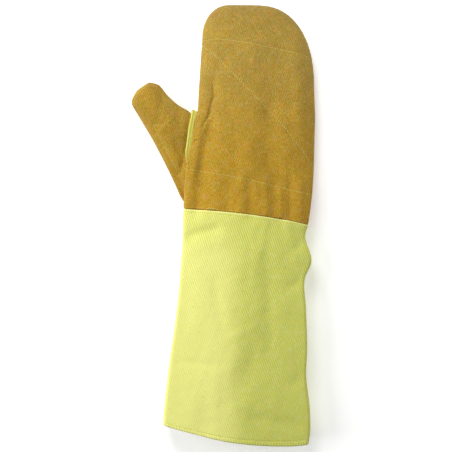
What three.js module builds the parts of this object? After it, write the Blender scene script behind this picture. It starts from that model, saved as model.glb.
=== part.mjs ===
// A long heat-resistant mitten lying flat, built as it is sewn: two padded hand panels, two padded thumb panels,
// a gusset strip let in round the thumb's crotch, and a twill gauntlet cuff that the hand is tucked into.
// Millimetres. +X to the right, +Y towards the fingertips, +Z up. The origin is under the middle of the mitten.
import * as THREE from 'three';

// Cloth thicknesses and sewing sizes
const HAND_WALL = 3.0;
const CUFF_WALL = 1.6;
const GUSSET_WALL = 1.4;
const HEM_WALL = 3.2;
const HEM_WIDTH = 6;
const SEW_GAP = 0.3;
const TUCK_INSET = 2.3;
const LAP = 2.4;
const DRAW_IN = { from: 0.03, to: 0.12 };

// How full the cloth stands: a larger power gives a flatter top with rounder sides
const FRONT_FULLNESS = 3;
const BACK_FULLNESS = 6;
const FLATTENED_BY_WEIGHT = 1.12;
const ROW_BOW_FULLNESS = { left: 1.5, right: 3 };
const FOLDS_FADE = 0.16;

// Grid steps across a face and along the rows
const FRONT_COLUMNS = 24;
const BACK_COLUMNS = 16;
const HOLE_STEPS = 12;
const TIP_STEPS = 11;
const TUCKED_ROWS = [-0.75, -0.35];
const BODY_ROWS = [5.4, 5.8, 6.4, 7.1, 7.8, 8.5];
const CUFF_GRID_ROWS = [0, 0.35, 0.75, 1, 1.35, 1.7, 2, 2.3, 2.65, 3, 3.5, 4.2, 5, 5.6, 6.2, 6.9, 7.5, 8];
const HEM_STEP = 1.08;
const SLOPE_STEP = 1e-3;

// Materials
const HEAT_CLOTH = { color: 0xb98f3d, roughness: 0.95, metalness: 0 };
const GUSSET_CLOTH = { color: 0xd3cf6b, roughness: 0.9, metalness: 0 };
const TWILL = { color: 0xdcdc7d, roughness: 0.85, metalness: 0 };

// Reads rows of numbers into rows with named columns
function table(columns, rows) {
  return rows.map((row) => Object.fromEntries(columns.map((name, i) => [name, row[i]])));
}

// The cuff from its top edge to its hem: where its two side edges lie, how far the middle of the row bows
// towards the fingertips, the height of the side edges and how far the top stands above them
const CUFF_ROWS = table(
  ['at', 'leftX', 'leftY', 'rightX', 'rightY', 'bow', 'sideZ', 'rise'],
  [
    [0, -43.3, 17.8, 92.3, 0.1, 3.2, 13.5, 21.5],
    [1, -43.7, 3.6, 89.3, -14.3, 2.6, 14, 21.5],
    [2, -44.3, -19.8, 95.8, -37.8, 1.8, 14.5, 21.5],
    [3, -45.9, -41.6, 88.1, -60.1, 1, 15, 21.5],
    [4, -48.3, -72.7, 89.7, -91.2, 0, 15.5, 21.5],
    [5, -53.2, -113, 90.9, -132.7, -1, 16.5, 21.5],
    [6, -57.6, -142.5, 89.8, -162.1, -2.5, 17, 21.5],
    [7, -62, -179.5, 93.2, -192.6, -4, 18, 22],
    [8, -64.3, -203.4, 94.1, -216.6, -6, 18.5, 22],
    [9, -65, -213.3, 92.3, -233.8, -7.9, 19, 22],
  ],
);
const HEM_ROW = 9;

// The stiff cuff lies like a low roof with steep sides: its height across from the left edge to the right one. The
// padded hand is a dome, and the one form passes into the other round the wrist seam.
const ROOF_FULLNESS = 40;
const ROOF = table(
  ['at', 'height'],
  [[-1, 0.66], [-0.8, 0.75], [-0.5, 0.9], [-0.2, 0.98], [0, 1], [0.2, 0.95], [0.45, 0.85], [1, 0.77]],
);
const ROOF_AT_WRIST = 0.7;
const ROOF_SETTLES_AT = 4;

// The hand from the wrist seam to where its right side starts to round in
const HAND_ROWS = table(
  ['at', 'leftX', 'leftY', 'rightX', 'rightY', 'bow', 'sideZ', 'rise'],
  [
    [0, -43.3, 17.8, 92.3, 0.1, 3.2, 13.5, 21.5],
    [1, -41.8, 43.9, 96.1, 27, 3.2, 13, 20.8],
    [2, -38.9, 67.9, 98.3, 53.7, 3, 13, 19],
    [3, -34.5, 86.4, 99.2, 76.6, 2.8, 13, 18],
    [4, -31.9, 106.1, 99.9, 99.5, 2.5, 13, 17.5],
    [5, -28.2, 124.6, 100.3, 121.3, 2.2, 13, 17],
    [6, -26.7, 147.5, 99.2, 151.8, 2, 13, 16.5],
  ],
);

// The fingertip end: two round corners, the right one longer and squarer, with a flat edge between them
const TIP = {
  firstRow: 6,
  rows: 9,
  leftStraightRows: 3,
  leftShoulder: { x: -23.1, y: 204.2 },
  leftCorner: { x: 5.3, y: 204.2, radiusX: 28.4, radiusY: 36.4, squareness: 2 },
  rightCorner: { x: 38, y: 151.8, radiusX: 61.2, radiusY: 88.3, squareness: 2.22 },
  sideZ: 10.5,
  rise: 15,
  noseLength: 34,
  noseFullness: 2.4,
};
const TIP_ROW = TIP.firstRow + TIP.rows;

// The hole in the hand's left side that the thumb is sewn into, between two rows of the hand
const HOLE = { wristRow: 0.2, crotchRow: 5, halfHeight: 9.5, squareness: 5 };

// The thumb's two side edges, from the hole to the tip
const THUMB_OUTER_EDGE = table(['x', 'y'], [[-47, 32.5], [-57.9, 56.2], [-76.2, 91.9], [-92.9, 120.3], [-99.8, 133.1]]);
const THUMB_INNER_EDGE = table(['x', 'y'], [[-45.7, 129.3], [-59.6, 140.9], [-70.1, 153.1]]);
const THUMB_TIP_OUTER = { x: -94.8, y: 146.7 };
const THUMB_TIP_INNER = { x: -80.8, y: 156.3 };
const THUMB = { sideZ: 12, rise: 12.5, flatFrom: 0.05, fullFrom: 0.36, noseFrom: 0.72 };
const PINCH = { length: 26, wall: 0.8 };
const THUMB_ROWS = [0, 0.03, 0.055, 0.1, 0.17, 0.26, 0.37, 0.49, 0.61, 0.72, 0.82, 0.9, 0.96, 0.99, 1];

// The gusset strip: its width where it shows, from its lower end (0) to the crotch (1)
const GUSSET_WIDTHS = table(['at', 'width'], [[0, 0], [0.08, 2], [0.2, 4.2], [0.4, 4.9], [0.8, 4.9], [1, 5.8]]);
const GUSSET_FIRST_STEP = 5;
const LAP_FADE = 0.06;

// Soft folds and dents in the upper cloth: the line that each follows, its half width and its height
const FOLDS = table(
  ['name', 'fromX', 'fromY', 'toX', 'toY', 'halfWidth', 'height'],
  [
    ['crease beside the rolled edge, top', -10, 150, -12, 128, 6, -2],
    ['the same crease beside the gusset', -15, 109, -20, 88, 6, -3],
    ['the same crease over the thumb seam', -24, 70, -26.5, 57, 6, -2.8],
    ['the same crease at the wrist', -27.5, 36, -28.5, 22, 6, -2.4],
    ['rolled edge over the thumb seam', -18, 112, -37, 44, 4.5, 1.5],
    ['long swell down the hand', 30, 185, 27, 60, 13, 1.2],
    ['long dent beside it', 58, 180, 58, 56, 13, -1.6],
    ['pucker 1 above the wrist seam', 29, 44, 30, 12, 6, -1.2],
    ['pucker 2', 61, 42, 62, 8, 6, -1.2],
    ['fold from the cuff side pinch', 94, -13, 78, -24, 6, -1],
    ['fold from the second pinch', 92, -58, 76, -64, 6, -1],
    ['fold from the third pinch', 92, -161, 78, -167, 7, -0.7],
    ['crease at the cuff\'s top left corner', -40, -12, -12, -4, 5, -1.4],
    ['swell below that crease', -40, -28, -2, -16, 7, 1],
    ['slack across the cuff mouth', -20, -215, 30, -150, 14, -1],
    ['valley beside the gusset', -42, 118, -39, 70, 5, -1.6],
    ['dent at the thumb tip', -69, 146, -62, 140, 4, -1.2],
  ],
);

// Curves through a table's rows, cubic pieces whose slopes are taken between the neighbouring rows
function readTable(rows, column, at) {
  const last = rows.length - 1;
  let i = 0;
  while (i < last - 1 && at > rows[i + 1].at) i += 1;
  const span = rows[i + 1].at - rows[i].at;
  const t = (at - rows[i].at) / span;
  const slopeAt = (k) => {
    const before = rows[Math.max(k - 1, 0)];
    const after = rows[Math.min(k + 1, last)];
    return (after[column] - before[column]) / (after.at - before.at);
  };
  const t2 = t * t;
  const t3 = t2 * t;
  return (2 * t3 - 3 * t2 + 1) * rows[i][column] + (t3 - 2 * t2 + t) * span * slopeAt(i)
    + (3 * t2 - 2 * t3) * rows[i + 1][column] + (t3 - t2) * span * slopeAt(i + 1);
}

const mix = (a, b, t) => a + (b - a) * t;
const clamp01 = (t) => Math.min(Math.max(t, 0), 1);
const smooth = (t) => clamp01(t) ** 2 * (3 - 2 * clamp01(t));
const dome = (s, fullness) => Math.sqrt(Math.max(0, 1 - Math.abs(s) ** fullness));
const evenAngles = (steps) => Array.from({ length: steps + 1 }, (_, i) => (1 - Math.cos((Math.PI * i) / steps)) / 2);

// The side edges, bow and heights of one row of the cuff or the hand
function rowOf(rows, at) {
  const read = (column) => readTable(rows, column, at);
  return {
    left: { x: read('leftX'), y: read('leftY') },
    right: { x: read('rightX'), y: read('rightY') },
    bow: read('bow'),
    sideZ: read('sideZ'),
    rise: read('rise'),
    floorZ: 0,
    roof: rows === CUFF_ROWS ? mix(ROOF_AT_WRIST, 1, smooth(at / ROOF_SETTLES_AT)) : 0,
  };
}

function cornerPoint(corner, turn, toRight) {
  const angle = (turn * Math.PI) / 2;
  const along = Math.cos(angle) ** (2 / corner.squareness);
  const up = Math.sin(angle) ** (2 / corner.squareness);
  return { x: corner.x + (toRight ? 1 : -1) * corner.radiusX * along, y: corner.y + corner.radiusY * up };
}

// A row of the rounded fingertip end
function tipRow(at) {
  const step = at - TIP.firstRow;
  const start = rowOf(HAND_ROWS, TIP.firstRow);
  const done = step / TIP.rows;
  const straight = step / TIP.leftStraightRows;
  const left = straight < 1
    ? { x: mix(start.left.x, TIP.leftShoulder.x, straight), y: mix(start.left.y, TIP.leftShoulder.y, straight) }
    : cornerPoint(TIP.leftCorner, (step - TIP.leftStraightRows) / (TIP.rows - TIP.leftStraightRows), false);
  const right = cornerPoint(TIP.rightCorner, done, true);
  const tipY = (TIP.leftCorner.y + TIP.leftCorner.radiusY + TIP.rightCorner.y + TIP.rightCorner.radiusY) / 2;
  const toTip = clamp01((tipY - (left.y + right.y) / 2) / TIP.noseLength);
  return {
    left,
    right,
    bow: mix(start.bow, 0, done),
    sideZ: mix(start.sideZ, TIP.sideZ, smooth(done)),
    rise: mix(start.rise, TIP.rise, done) * dome(1 - toTip, TIP.noseFullness),
    nose: dome(1 - toTip, TIP.noseFullness),
    floorZ: 0,
  };
}

// A row of the hand. Rows below 0 are inside the cuff and follow it; the cloth draws in just above the seam.
function handRow(at) {
  const row = at > TIP.firstRow ? tipRow(at) : rowOf(at < 0 ? CUFF_ROWS : HAND_ROWS, Math.abs(at));
  const inset = TUCK_INSET * smooth((DRAW_IN.to - at) / (DRAW_IN.to - DRAW_IN.from));
  row.left.x += inset;
  row.right.x -= inset;
  row.rise -= inset;
  row.floorZ = inset;
  row.nose = row.nose ?? 1;
  if (at >= 0) row.roof = ROOF_AT_WRIST * smooth(1 - at / ROOF_SETTLES_AT);
  return row;
}

// How far the thumb hole's rim stands from the side seam, along the rows of the hand
function holeHeight(at) {
  const across = (2 * (at - HOLE.wristRow)) / (HOLE.crotchRow - HOLE.wristRow) - 1;
  return Math.abs(across) < 1 ? HOLE.halfHeight * dome(across, HOLE.squareness) : 0;
}

// Sum of the folds at a place on the upper cloth
function foldHeight(x, y) {
  return FOLDS.reduce((sum, fold) => {
    const dx = fold.toX - fold.fromX;
    const dy = fold.toY - fold.fromY;
    const length = Math.hypot(dx, dy);
    const along = ((x - fold.fromX) * dx + (y - fold.fromY) * dy) / length;
    const aside = ((x - fold.fromX) * dy - (y - fold.fromY) * dx) / length;
    const past = Math.max(0, -along, along - length);
    const spread = (aside / fold.halfWidth) ** 2 + (past / (2 * fold.halfWidth)) ** 2;
    return sum + fold.height * Math.exp(-spread);
  }, 0);
}

// A point of a face: side 1 is the upper cloth, -1 the lower, which is flat where it lies on the table
function facePoint(row, s, side, rim, gap) {
  const x = mix(row.left.x, row.right.x, (s + 1) / 2);
  const bowed = 1 - Math.abs(s) ** (s < 0 ? ROW_BOW_FULLNESS.left : ROW_BOW_FULLNESS.right);
  const y = mix(row.left.y, row.right.y, (s + 1) / 2) + row.bow * bowed;
  const full = dome(s, side > 0 ? FRONT_FULLNESS : BACK_FULLNESS);
  const lift = s < 0 ? rim * (1 - full) : 0;
  if (side > 0) {
    const roof = dome(s, ROOF_FULLNESS) * readTable(ROOF, 'height', s);
    const fold = foldHeight(x, y) * smooth((1 - Math.abs(s)) / FOLDS_FADE) * (row.nose ?? 1);
    return new THREE.Vector3(x, y, row.sideZ + gap / 2 + lift + row.rise * mix(full, roof, row.roof) + fold);
  }
  const drop = FLATTENED_BY_WEIGHT * (row.sideZ - row.floorZ) * (row.nose ?? 1) * full;
  return new THREE.Vector3(x, y, Math.max(row.floorZ, row.sideZ - gap / 2 - lift - drop));
}

// Turns a surface into a closed wall: its outer side, its inner side one wall thickness in, and its cut edges
function wallGeometry({ surface, edgeNormal, wall, across, along, wraps, inward }) {
  const slope = (u, v, du, dv) => {
    const ahead = surface(wraps ? u + du : clamp01(u + du), clamp01(v + dv));
    return ahead.sub(surface(wraps ? u - du : clamp01(u - du), clamp01(v - dv)));
  };
  const normalAt = (u, v) => {
    const set = edgeNormal(u, v);
    if (set) return set.normalize();
    const normal = slope(u, v, SLOPE_STEP, 0).cross(slope(u, v, 0, SLOPE_STEP)).normalize();
    return inward ? normal.negate() : normal;
  };
  const columns = across.length;
  const rows = along.length;
  const outer = [];
  const inner = [];
  for (const v of along) {
    for (const u of across) {
      const point = surface(u, v);
      outer.push(point);
      inner.push(point.clone().addScaledVector(normalAt(u, v), -wall(u, v)));
    }
  }
  const triangles = [];
  const innerStart = columns * rows;
  const quad = (a, b, c, d) => triangles.push(a, b, c, a, c, d);
  const at = (i, j) => j * columns + (i % columns);
  const spans = wraps ? columns : columns - 1;
  for (let j = 0; j < rows - 1; j += 1) {
    for (let i = 0; i < spans; i += 1) {
      const [a, b, c, d] = [at(i, j), at(i + 1, j), at(i + 1, j + 1), at(i, j + 1)];
      quad(a, b, c, d);
      quad(innerStart + d, innerStart + c, innerStart + b, innerStart + a);
    }
  }
  const cutEdge = (path) => path.slice(1).forEach((b, k) => quad(b, path[k], innerStart + path[k], innerStart + b));
  const columnSteps = Array.from({ length: spans + 1 }, (_, i) => i);
  const rowSteps = along.map((_, j) => j);
  cutEdge(columnSteps.map((i) => at(i, 0)));
  cutEdge(columnSteps.toReversed().map((i) => at(i, rows - 1)));
  if (!wraps) {
    cutEdge(rowSteps.map((j) => at(columns - 1, j)));
    cutEdge(rowSteps.toReversed().map((j) => at(0, j)));
  }
  if (inward) {
    for (let k = 0; k < triangles.length; k += 3) {
      [triangles[k + 1], triangles[k + 2]] = [triangles[k + 2], triangles[k + 1]];
    }
  }
  return closedGeometry([...outer, ...inner], triangles);
}

function closedGeometry(points, triangles) {
  const geometry = new THREE.BufferGeometry();
  geometry.setAttribute('position', new THREE.Float32BufferAttribute(points.flatMap((p) => p.toArray()), 3));
  geometry.setIndex(triangles);
  geometry.computeVertexNormals();
  return geometry;
}

// The level outward direction of a path in plan, on its left or right hand
function levelNormal(path, v, hand) {
  const tangent = path(clamp01(v + SLOPE_STEP)).sub(path(clamp01(v - SLOPE_STEP)));
  return new THREE.Vector3(-hand * tangent.y, hand * tangent.x, 0);
}

// Rows of the hand panels: into the cuff, the draw-in at the seam, the thumb hole, the body and the tip
function handRowSteps() {
  const hole = HOLE_SPACING.map((t) => mix(HOLE.wristRow, HOLE.crotchRow, t));
  const tipStart = BODY_ROWS.at(-1);
  const tip = evenAngles(2 * TIP_STEPS).slice(TIP_STEPS).map((t) => mix(2 * tipStart - TIP_ROW, TIP_ROW, t));
  return [...TUCKED_ROWS, DRAW_IN.from, DRAW_IN.to, ...hole, ...BODY_ROWS, ...tip.slice(1)];
}

function handPanel(side) {
  const rows = handRowSteps();
  const [first, last] = [rows[0], rows.at(-1)];
  const rowAt = (v) => mix(first, last, v);
  const surface = (u, v) => {
    const at = rowAt(v);
    return facePoint(handRow(at), -Math.cos(Math.PI * u), side, holeHeight(at), SEW_GAP);
  };
  const edgeNormal = (u, v) => {
    const normal = new THREE.Vector3();
    if (u === 0) normal.add(levelNormal((t) => surface(0, t), v, 1).normalize());
    if (u === 1) normal.add(levelNormal((t) => surface(1, t), v, -1).normalize());
    if (v === 1) normal.add(levelNormal((t) => surface(t, 1), u, 1).normalize());
    return normal.length() > 0 ? normal : null;
  };
  const columns = side > 0 ? FRONT_COLUMNS : BACK_COLUMNS;
  return wallGeometry({
    surface,
    edgeNormal,
    wall: () => HAND_WALL,
    across: Array.from({ length: columns + 1 }, (_, i) => i / columns),
    along: rows.map((at) => (at - first) / (last - first)),
    inward: side < 0,
  });
}

// The rim of the thumb hole. t runs from the wrist end to the crotch end; inset moves it into the hole, and
// into moves it level into the hand.
function holePoint(t, side, inset, into) {
  const rim = (k) => {
    const at = mix(HOLE.wristRow, HOLE.crotchRow, clamp01(k));
    const row = handRow(at);
    return new THREE.Vector3(row.left.x, row.left.y, row.sideZ + side * holeHeight(at));
  };
  const point = rim(t);
  const ahead = rim(t + SLOPE_STEP).sub(rim(t - SLOPE_STEP));
  const outline = levelNormal(rim, clamp01(t), 1).normalize();
  const normal = new THREE.Vector3().crossVectors(ahead, outline).multiplyScalar(side).normalize();
  if (t <= 0 || t >= 1) normal.set(outline.y, -outline.x, 0).multiplyScalar(t <= 0 ? -1 : 1);
  return point.addScaledVector(normal, -inset).addScaledVector(outline, -into);
}

// The strip's shown width at a place on the rim, and how far the thumb's cloth laps into the hand there
const HOLE_SPACING = evenAngles(HOLE_STEPS);
const GUSSET_START = HOLE_SPACING[GUSSET_FIRST_STEP];

function gussetWidth(t) {
  return t < GUSSET_START ? 0 : readTable(GUSSET_WIDTHS, 'width', (t - GUSSET_START) / (1 - GUSSET_START));
}

function thumbLap(t) {
  return LAP * smooth((GUSSET_START - t) / LAP_FADE) - SEW_GAP - gussetWidth(t);
}

function edgeCurve(points) {
  return new THREE.CatmullRomCurve3(points.map((p) => new THREE.Vector3(p.x, p.y, 0)), false, 'centripetal');
}

function thumbPanel(side) {
  const ringZ = (t) => holePoint(t, side, SEW_GAP, 0).z;
  const base = (t) => holePoint(t, side, SEW_GAP, thumbLap(t)).setZ(0);
  const tip = (t) => new THREE.Vector3(
    mix(THUMB_TIP_OUTER.x, THUMB_TIP_INNER.x, t),
    mix(THUMB_TIP_OUTER.y, THUMB_TIP_INNER.y, t),
    0,
  );
  const outerEdge = edgeCurve([base(0), ...THUMB_OUTER_EDGE, tip(0)]);
  const innerEdge = edgeCurve([base(1), ...THUMB_INNER_EDGE, tip(1)]);
  // A patch whose four sides are the hole, the tip and the two edges
  const plan = (u, v) => {
    const point = new THREE.Vector3();
    point.addScaledVector(base(u), 1 - v).addScaledVector(tip(u), v);
    point.addScaledVector(outerEdge.getPointAt(v), 1 - u).addScaledVector(innerEdge.getPointAt(v), u);
    point.addScaledVector(base(0), -(1 - u) * (1 - v)).addScaledVector(base(1), -u * (1 - v));
    return point.addScaledVector(tip(0), -(1 - u) * v).addScaledVector(tip(1), -u * v);
  };
  const surface = (u, v) => {
    const point = plan(u, v);
    const leaving = smooth((v - THUMB.flatFrom) / (THUMB.fullFrom - THUMB.flatFrom));
    const sideZ = mix(handRow(mix(HOLE.wristRow, HOLE.crotchRow, u)).sideZ, THUMB.sideZ, v);
    const nose = dome(Math.max(0, v - THUMB.noseFrom) / (1 - THUMB.noseFrom), TIP.noseFullness);
    const full = dome(2 * u - 1, side > 0 ? FRONT_FULLNESS : BACK_FULLNESS);
    const rim = Math.abs(ringZ(u) - handRow(mix(HOLE.wristRow, HOLE.crotchRow, u)).sideZ);
    const stand = side > 0 ? THUMB.rise : FLATTENED_BY_WEIGHT * sideZ;
    const height = mix(rim, stand * full * nose, leaving);
    const fold = side > 0 ? foldHeight(point.x, point.y) * full * leaving * nose : 0;
    return point.setZ(Math.max(0, sideZ + side * (SEW_GAP / 2 + height) + fold));
  };
  const edgeNormal = (u, v) => {
    const normal = new THREE.Vector3();
    if (u === 0) normal.add(levelNormal((t) => plan(0, t), v, 1).normalize());
    if (u === 1) normal.add(levelNormal((t) => plan(1, t), v, -1).normalize());
    if (v === 1) normal.add(levelNormal((t) => plan(t, 1), u, 1).normalize());
    return normal.length() > 0 ? normal : null;
  };
  const wristEnd = base(0);
  const wall = (u, v) => {
    const away = surface(u, v).setZ(0).distanceTo(wristEnd) / PINCH.length;
    return mix(PINCH.wall, HAND_WALL, smooth(away));
  };
  return wallGeometry({
    surface,
    edgeNormal,
    wall,
    across: HOLE_SPACING,
    along: THUMB_ROWS,
    inward: side < 0,
  });
}

// The strip runs up the front of the hole, round the crotch and down the back
function gussetStrip() {
  const steps = HOLE_SPACING.slice(GUSSET_FIRST_STEP);
  const stops = [
    ...steps.map((t) => ({ t, side: 1 })),
    ...steps.slice(0, -1).toReversed().map((t) => ({ t, side: -1 })),
  ];
  const points = stops.flatMap(({ t, side }) => {
    const thumbSide = -gussetWidth(t);
    return [
      holePoint(t, side, SEW_GAP, thumbSide),
      holePoint(t, side, SEW_GAP, LAP),
      holePoint(t, side, SEW_GAP + GUSSET_WALL, LAP),
      holePoint(t, side, SEW_GAP + GUSSET_WALL, thumbSide),
    ];
  });
  const triangles = [];
  const quad = (a, b, c, d) => triangles.push(a, b, c, a, c, d);
  for (let k = 0; k < stops.length - 1; k += 1) {
    for (let i = 0; i < 4; i += 1) {
      quad(4 * k + i, 4 * k + ((i + 1) % 4), 4 * k + 4 + ((i + 1) % 4), 4 * k + 4 + i);
    }
  }
  const end = 4 * (stops.length - 1);
  quad(3, 2, 1, 0);
  quad(end, end + 1, end + 2, end + 3);
  return closedGeometry(points, triangles);
}

// The cuff is one cloth round both faces; its wall is double where the hem is folded inward
function cuffTube() {
  const across = [
    ...Array.from({ length: FRONT_COLUMNS }, (_, i) => (0.5 * i) / FRONT_COLUMNS),
    ...Array.from({ length: BACK_COLUMNS }, (_, i) => 0.5 + (0.5 * i) / BACK_COLUMNS),
  ];
  const surface = (u, v) => {
    const turn = (u + 1) % 1;
    const side = turn <= 0.5 ? 1 : -1;
    const s = side > 0 ? -Math.cos(2 * Math.PI * turn) : -Math.cos(2 * Math.PI * (1 - turn));
    return facePoint(rowOf(CUFF_ROWS, HEM_ROW * (1 - v)), s, side, 0, 0);
  };
  const edgeNormal = (u, v) => {
    if (u !== 0 && u !== 0.5) return null;
    return levelNormal((t) => surface(u, t), v, u === 0 ? 1 : -1);
  };
  const hemStart = HEM_WIDTH / (CUFF_ROWS.at(-2).rightY - CUFF_ROWS.at(-1).rightY) / HEM_ROW;
  const upTheCuff = CUFF_GRID_ROWS.toReversed().map((at) => 1 - at / HEM_ROW);
  const along = [0, hemStart, hemStart * HEM_STEP, ...upTheCuff];
  return wallGeometry({
    surface,
    edgeNormal,
    wall: (u, v) => (v <= hemStart ? HEM_WALL : CUFF_WALL),
    across,
    along,
    wraps: true,
  });
}

const mitten = new THREE.Group();

function addPiece(name, geometry, finish) {
  const piece = new THREE.Mesh(geometry, new THREE.MeshStandardMaterial({ ...finish, side: THREE.DoubleSide }));
  piece.name = name;
  mitten.add(piece);
}

addPiece('cuff', cuffTube(), TWILL);
addPiece('hand_front', handPanel(1), HEAT_CLOTH);
addPiece('hand_back', handPanel(-1), HEAT_CLOTH);
addPiece('thumb_front', thumbPanel(1), HEAT_CLOTH);
addPiece('thumb_back', thumbPanel(-1), HEAT_CLOTH);
addPiece('crotch_gusset', gussetStrip(), GUSSET_CLOTH);

// The tables are measured from the middle of the picture, so the whole is set over its own middle
const box = new THREE.Box3().setFromObject(mitten);
const middle = box.getCenter(new THREE.Vector3());
mitten.position.set(-middle.x, -middle.y, -box.min.z);

export default mitten;
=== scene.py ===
# %% [markdown]
# # A long heat-resistant mitten, lying flat
# The real mitten is sewn from six pieces of cloth: two padded panels for the hand, two for the thumb, a
# narrow gusset strip let in round the thumb's crotch, and a wide gauntlet cuff of yellow-green twill. A
# imported model of the same six pieces fixes the size and serves for physics. This script dresses it: every
# piece is drawn again as cloth, with its folds, stitches and weave, and takes the place of its plain solid.
#
# The first cell loads the imported model and keeps only its meshes. The dressed mitten must stay that size.

# %% The imported model
import math

import bpy
import numpy as np
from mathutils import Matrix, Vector
from mathutils.bvhtree import BVHTree


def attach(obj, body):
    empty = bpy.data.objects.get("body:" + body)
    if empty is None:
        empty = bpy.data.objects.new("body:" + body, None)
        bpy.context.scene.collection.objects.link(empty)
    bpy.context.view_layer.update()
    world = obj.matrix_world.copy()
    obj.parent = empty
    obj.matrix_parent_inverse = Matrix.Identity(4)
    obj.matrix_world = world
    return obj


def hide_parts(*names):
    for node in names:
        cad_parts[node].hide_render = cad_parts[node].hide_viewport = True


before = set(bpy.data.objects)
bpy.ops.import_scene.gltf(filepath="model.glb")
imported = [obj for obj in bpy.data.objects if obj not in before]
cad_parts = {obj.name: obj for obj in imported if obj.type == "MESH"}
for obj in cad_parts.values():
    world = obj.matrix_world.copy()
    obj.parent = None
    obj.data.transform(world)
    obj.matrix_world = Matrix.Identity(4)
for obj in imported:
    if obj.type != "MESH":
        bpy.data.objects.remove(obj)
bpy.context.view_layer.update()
print("packed pieces:", sorted(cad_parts))

# %% [markdown]
# ## The camera
# The mitten was photographed from straight above, from about a metre away. A camera without any rotation
# looks straight down with +Y at the top of the picture, so it only needs its height and its lens. The lens
# follows from the picture's scale: one pixel is 1.09 mm at the height of the hand's side seams. An
# orthographic camera would be simpler, but from a metre away the raised cloth looks a little larger than
# what lies lower, and only perspective shows that.

# %% Camera above the mitten
PICTURE_WIDTH = 452
MM_PER_PIXEL = 1.09
SENSOR_WIDTH = 36
SEAM_HEIGHT = 0.013
CAMERA_DISTANCE = 1.0
CAMERA_OVER = (0.00286, -0.00288)

camera_data = bpy.data.cameras.new("camera")
camera_data.sensor_width = SENSOR_WIDTH
camera_data.lens = SENSOR_WIDTH * CAMERA_DISTANCE / (PICTURE_WIDTH * MM_PER_PIXEL / 1000)
camera = bpy.data.objects.new("camera", camera_data)
camera.location = (*CAMERA_OVER, SEAM_HEIGHT + CAMERA_DISTANCE)
bpy.context.scene.collection.objects.link(camera)
bpy.context.scene.camera = camera
print("lens, mm:", round(camera_data.lens, 2))

# %% [markdown]
# ## The seams and edges in numbers
# The cloth is laid out in rows from the fingertips to the hem. Each row of a table says where its two side
# edges are, how far the middle of the row bows towards the fingertips, how high the side seam lies and how
# far the upper cloth stands above it. All of it is in millimetres, in plan from a point near the picture's
# middle. A table of rows is easier to fit to a sewn thing than a list of points, because each number is
# something that can be measured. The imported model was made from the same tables, with slightly rounder
# sides to the cuff and without the finest puckers, so most of the dressed cloth lies within a millimetre or
# two of it.

# %% Tables of rows
ROW_COLUMNS = ("at", "left_x", "left_y", "right_x", "right_y", "bow", "side_z", "rise")
WRIST_SEAM = (-43.3, 17.8, 92.3, 0.1, 3.2, 13.5, 21.5)


def table(columns, rows):
    """Rows of numbers, kept as one array for each named column."""
    return {name: np.array([row[i] for row in rows], float) for i, name in enumerate(columns)}


CUFF_ROWS = table(
    ROW_COLUMNS,
    [
        (0, *WRIST_SEAM),
        (1, -43.7, 3.6, 89.3, -14.3, 2.6, 14, 21.5),
        (2, -44.3, -19.8, 95.8, -37.8, 1.8, 14.5, 21.5),
        (3, -45.9, -41.6, 88.1, -60.1, 1, 15, 21.5),
        (4, -48.3, -72.7, 89.7, -91.2, 0, 15.5, 21.5),
        (5, -53.2, -113, 90.9, -132.7, -1, 16.5, 21.5),
        (6, -57.6, -142.5, 89.8, -162.1, -2.5, 17, 21.5),
        (7, -62, -179.5, 93.2, -192.6, -4, 18, 22),
        (8, -64.3, -203.4, 94.1, -216.6, -6, 18.5, 22),
        (9, -65, -213.3, 92.3, -233.8, -7.9, 19, 22),
    ],
)
HAND_ROWS = table(
    ROW_COLUMNS,
    [
        (0, *WRIST_SEAM),
        (1, -41.8, 43.9, 96.1, 27, 3.2, 13, 20.8),
        (2, -38.9, 67.9, 98.3, 53.7, 3, 13, 19),
        (3, -34.5, 86.4, 99.2, 76.6, 2.8, 13, 18),
        (4, -31.9, 106.1, 99.9, 99.5, 2.5, 13, 17.5),
        (5, -28.2, 124.6, 100.3, 121.3, 2.2, 13, 17),
        (6, -26.7, 147.5, 99.2, 151.8, 2, 13, 16.5),
    ],
)
print("cuff width at its top, mm:", round(float(CUFF_ROWS["right_x"][0] - CUFF_ROWS["left_x"][0]), 1))

# %% [markdown]
# ## Between the rows
# Cloth runs in smooth curves from one measured row to the next. A cubic piece between two rows takes its
# slope at each row from the neighbours on both sides, so the pieces join without a kink and still pass
# through every measured value. Straight pieces would show as facets, and one long polynomial would swing
# between the rows.

# %% Reading a table
def read(rows, column, at):
    """A column's value at any place between the rows, on a smooth curve through them."""
    place, value = rows["at"], rows[column]
    at = np.asarray(at, float)
    count = len(place)
    before = np.maximum(np.arange(count) - 1, 0)
    after = np.minimum(np.arange(count) + 1, count - 1)
    slope = (value[after] - value[before]) / (place[after] - place[before])
    i = np.clip(np.searchsorted(place, at, side="left") - 1, 0, count - 2)
    span = place[i + 1] - place[i]
    t = (at - place[i]) / span
    start = (2 * t**3 - 3 * t**2 + 1) * value[i] + (t**3 - 2 * t**2 + t) * span * slope[i]
    return start + (3 * t**2 - 2 * t**3) * value[i + 1] + (t**3 - t**2) * span * slope[i + 1]


print("left edge halfway down the cuff, mm:", round(float(read(CUFF_ROWS, "left_x", 4.5)), 1))

# %% [markdown]
# ## Round shapes
# Four small functions give most of the mitten's roundness: a mix of two values, a soft step from 0 to 1, a
# dome across a row, and stops that crowd together where cloth turns over. With them a form can be changed
# by one number, which would take many moves of single points in edit mode.

# %% Mixes, steps and domes
def mix(a, b, t):
    """a where t is 0 and b where t is 1."""
    return a + (b - a) * t


def smooth(t):
    """A soft step: 0 up to t = 0 and 1 from t = 1."""
    t = np.clip(t, 0, 1)
    return t * t * (3 - 2 * t)


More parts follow.
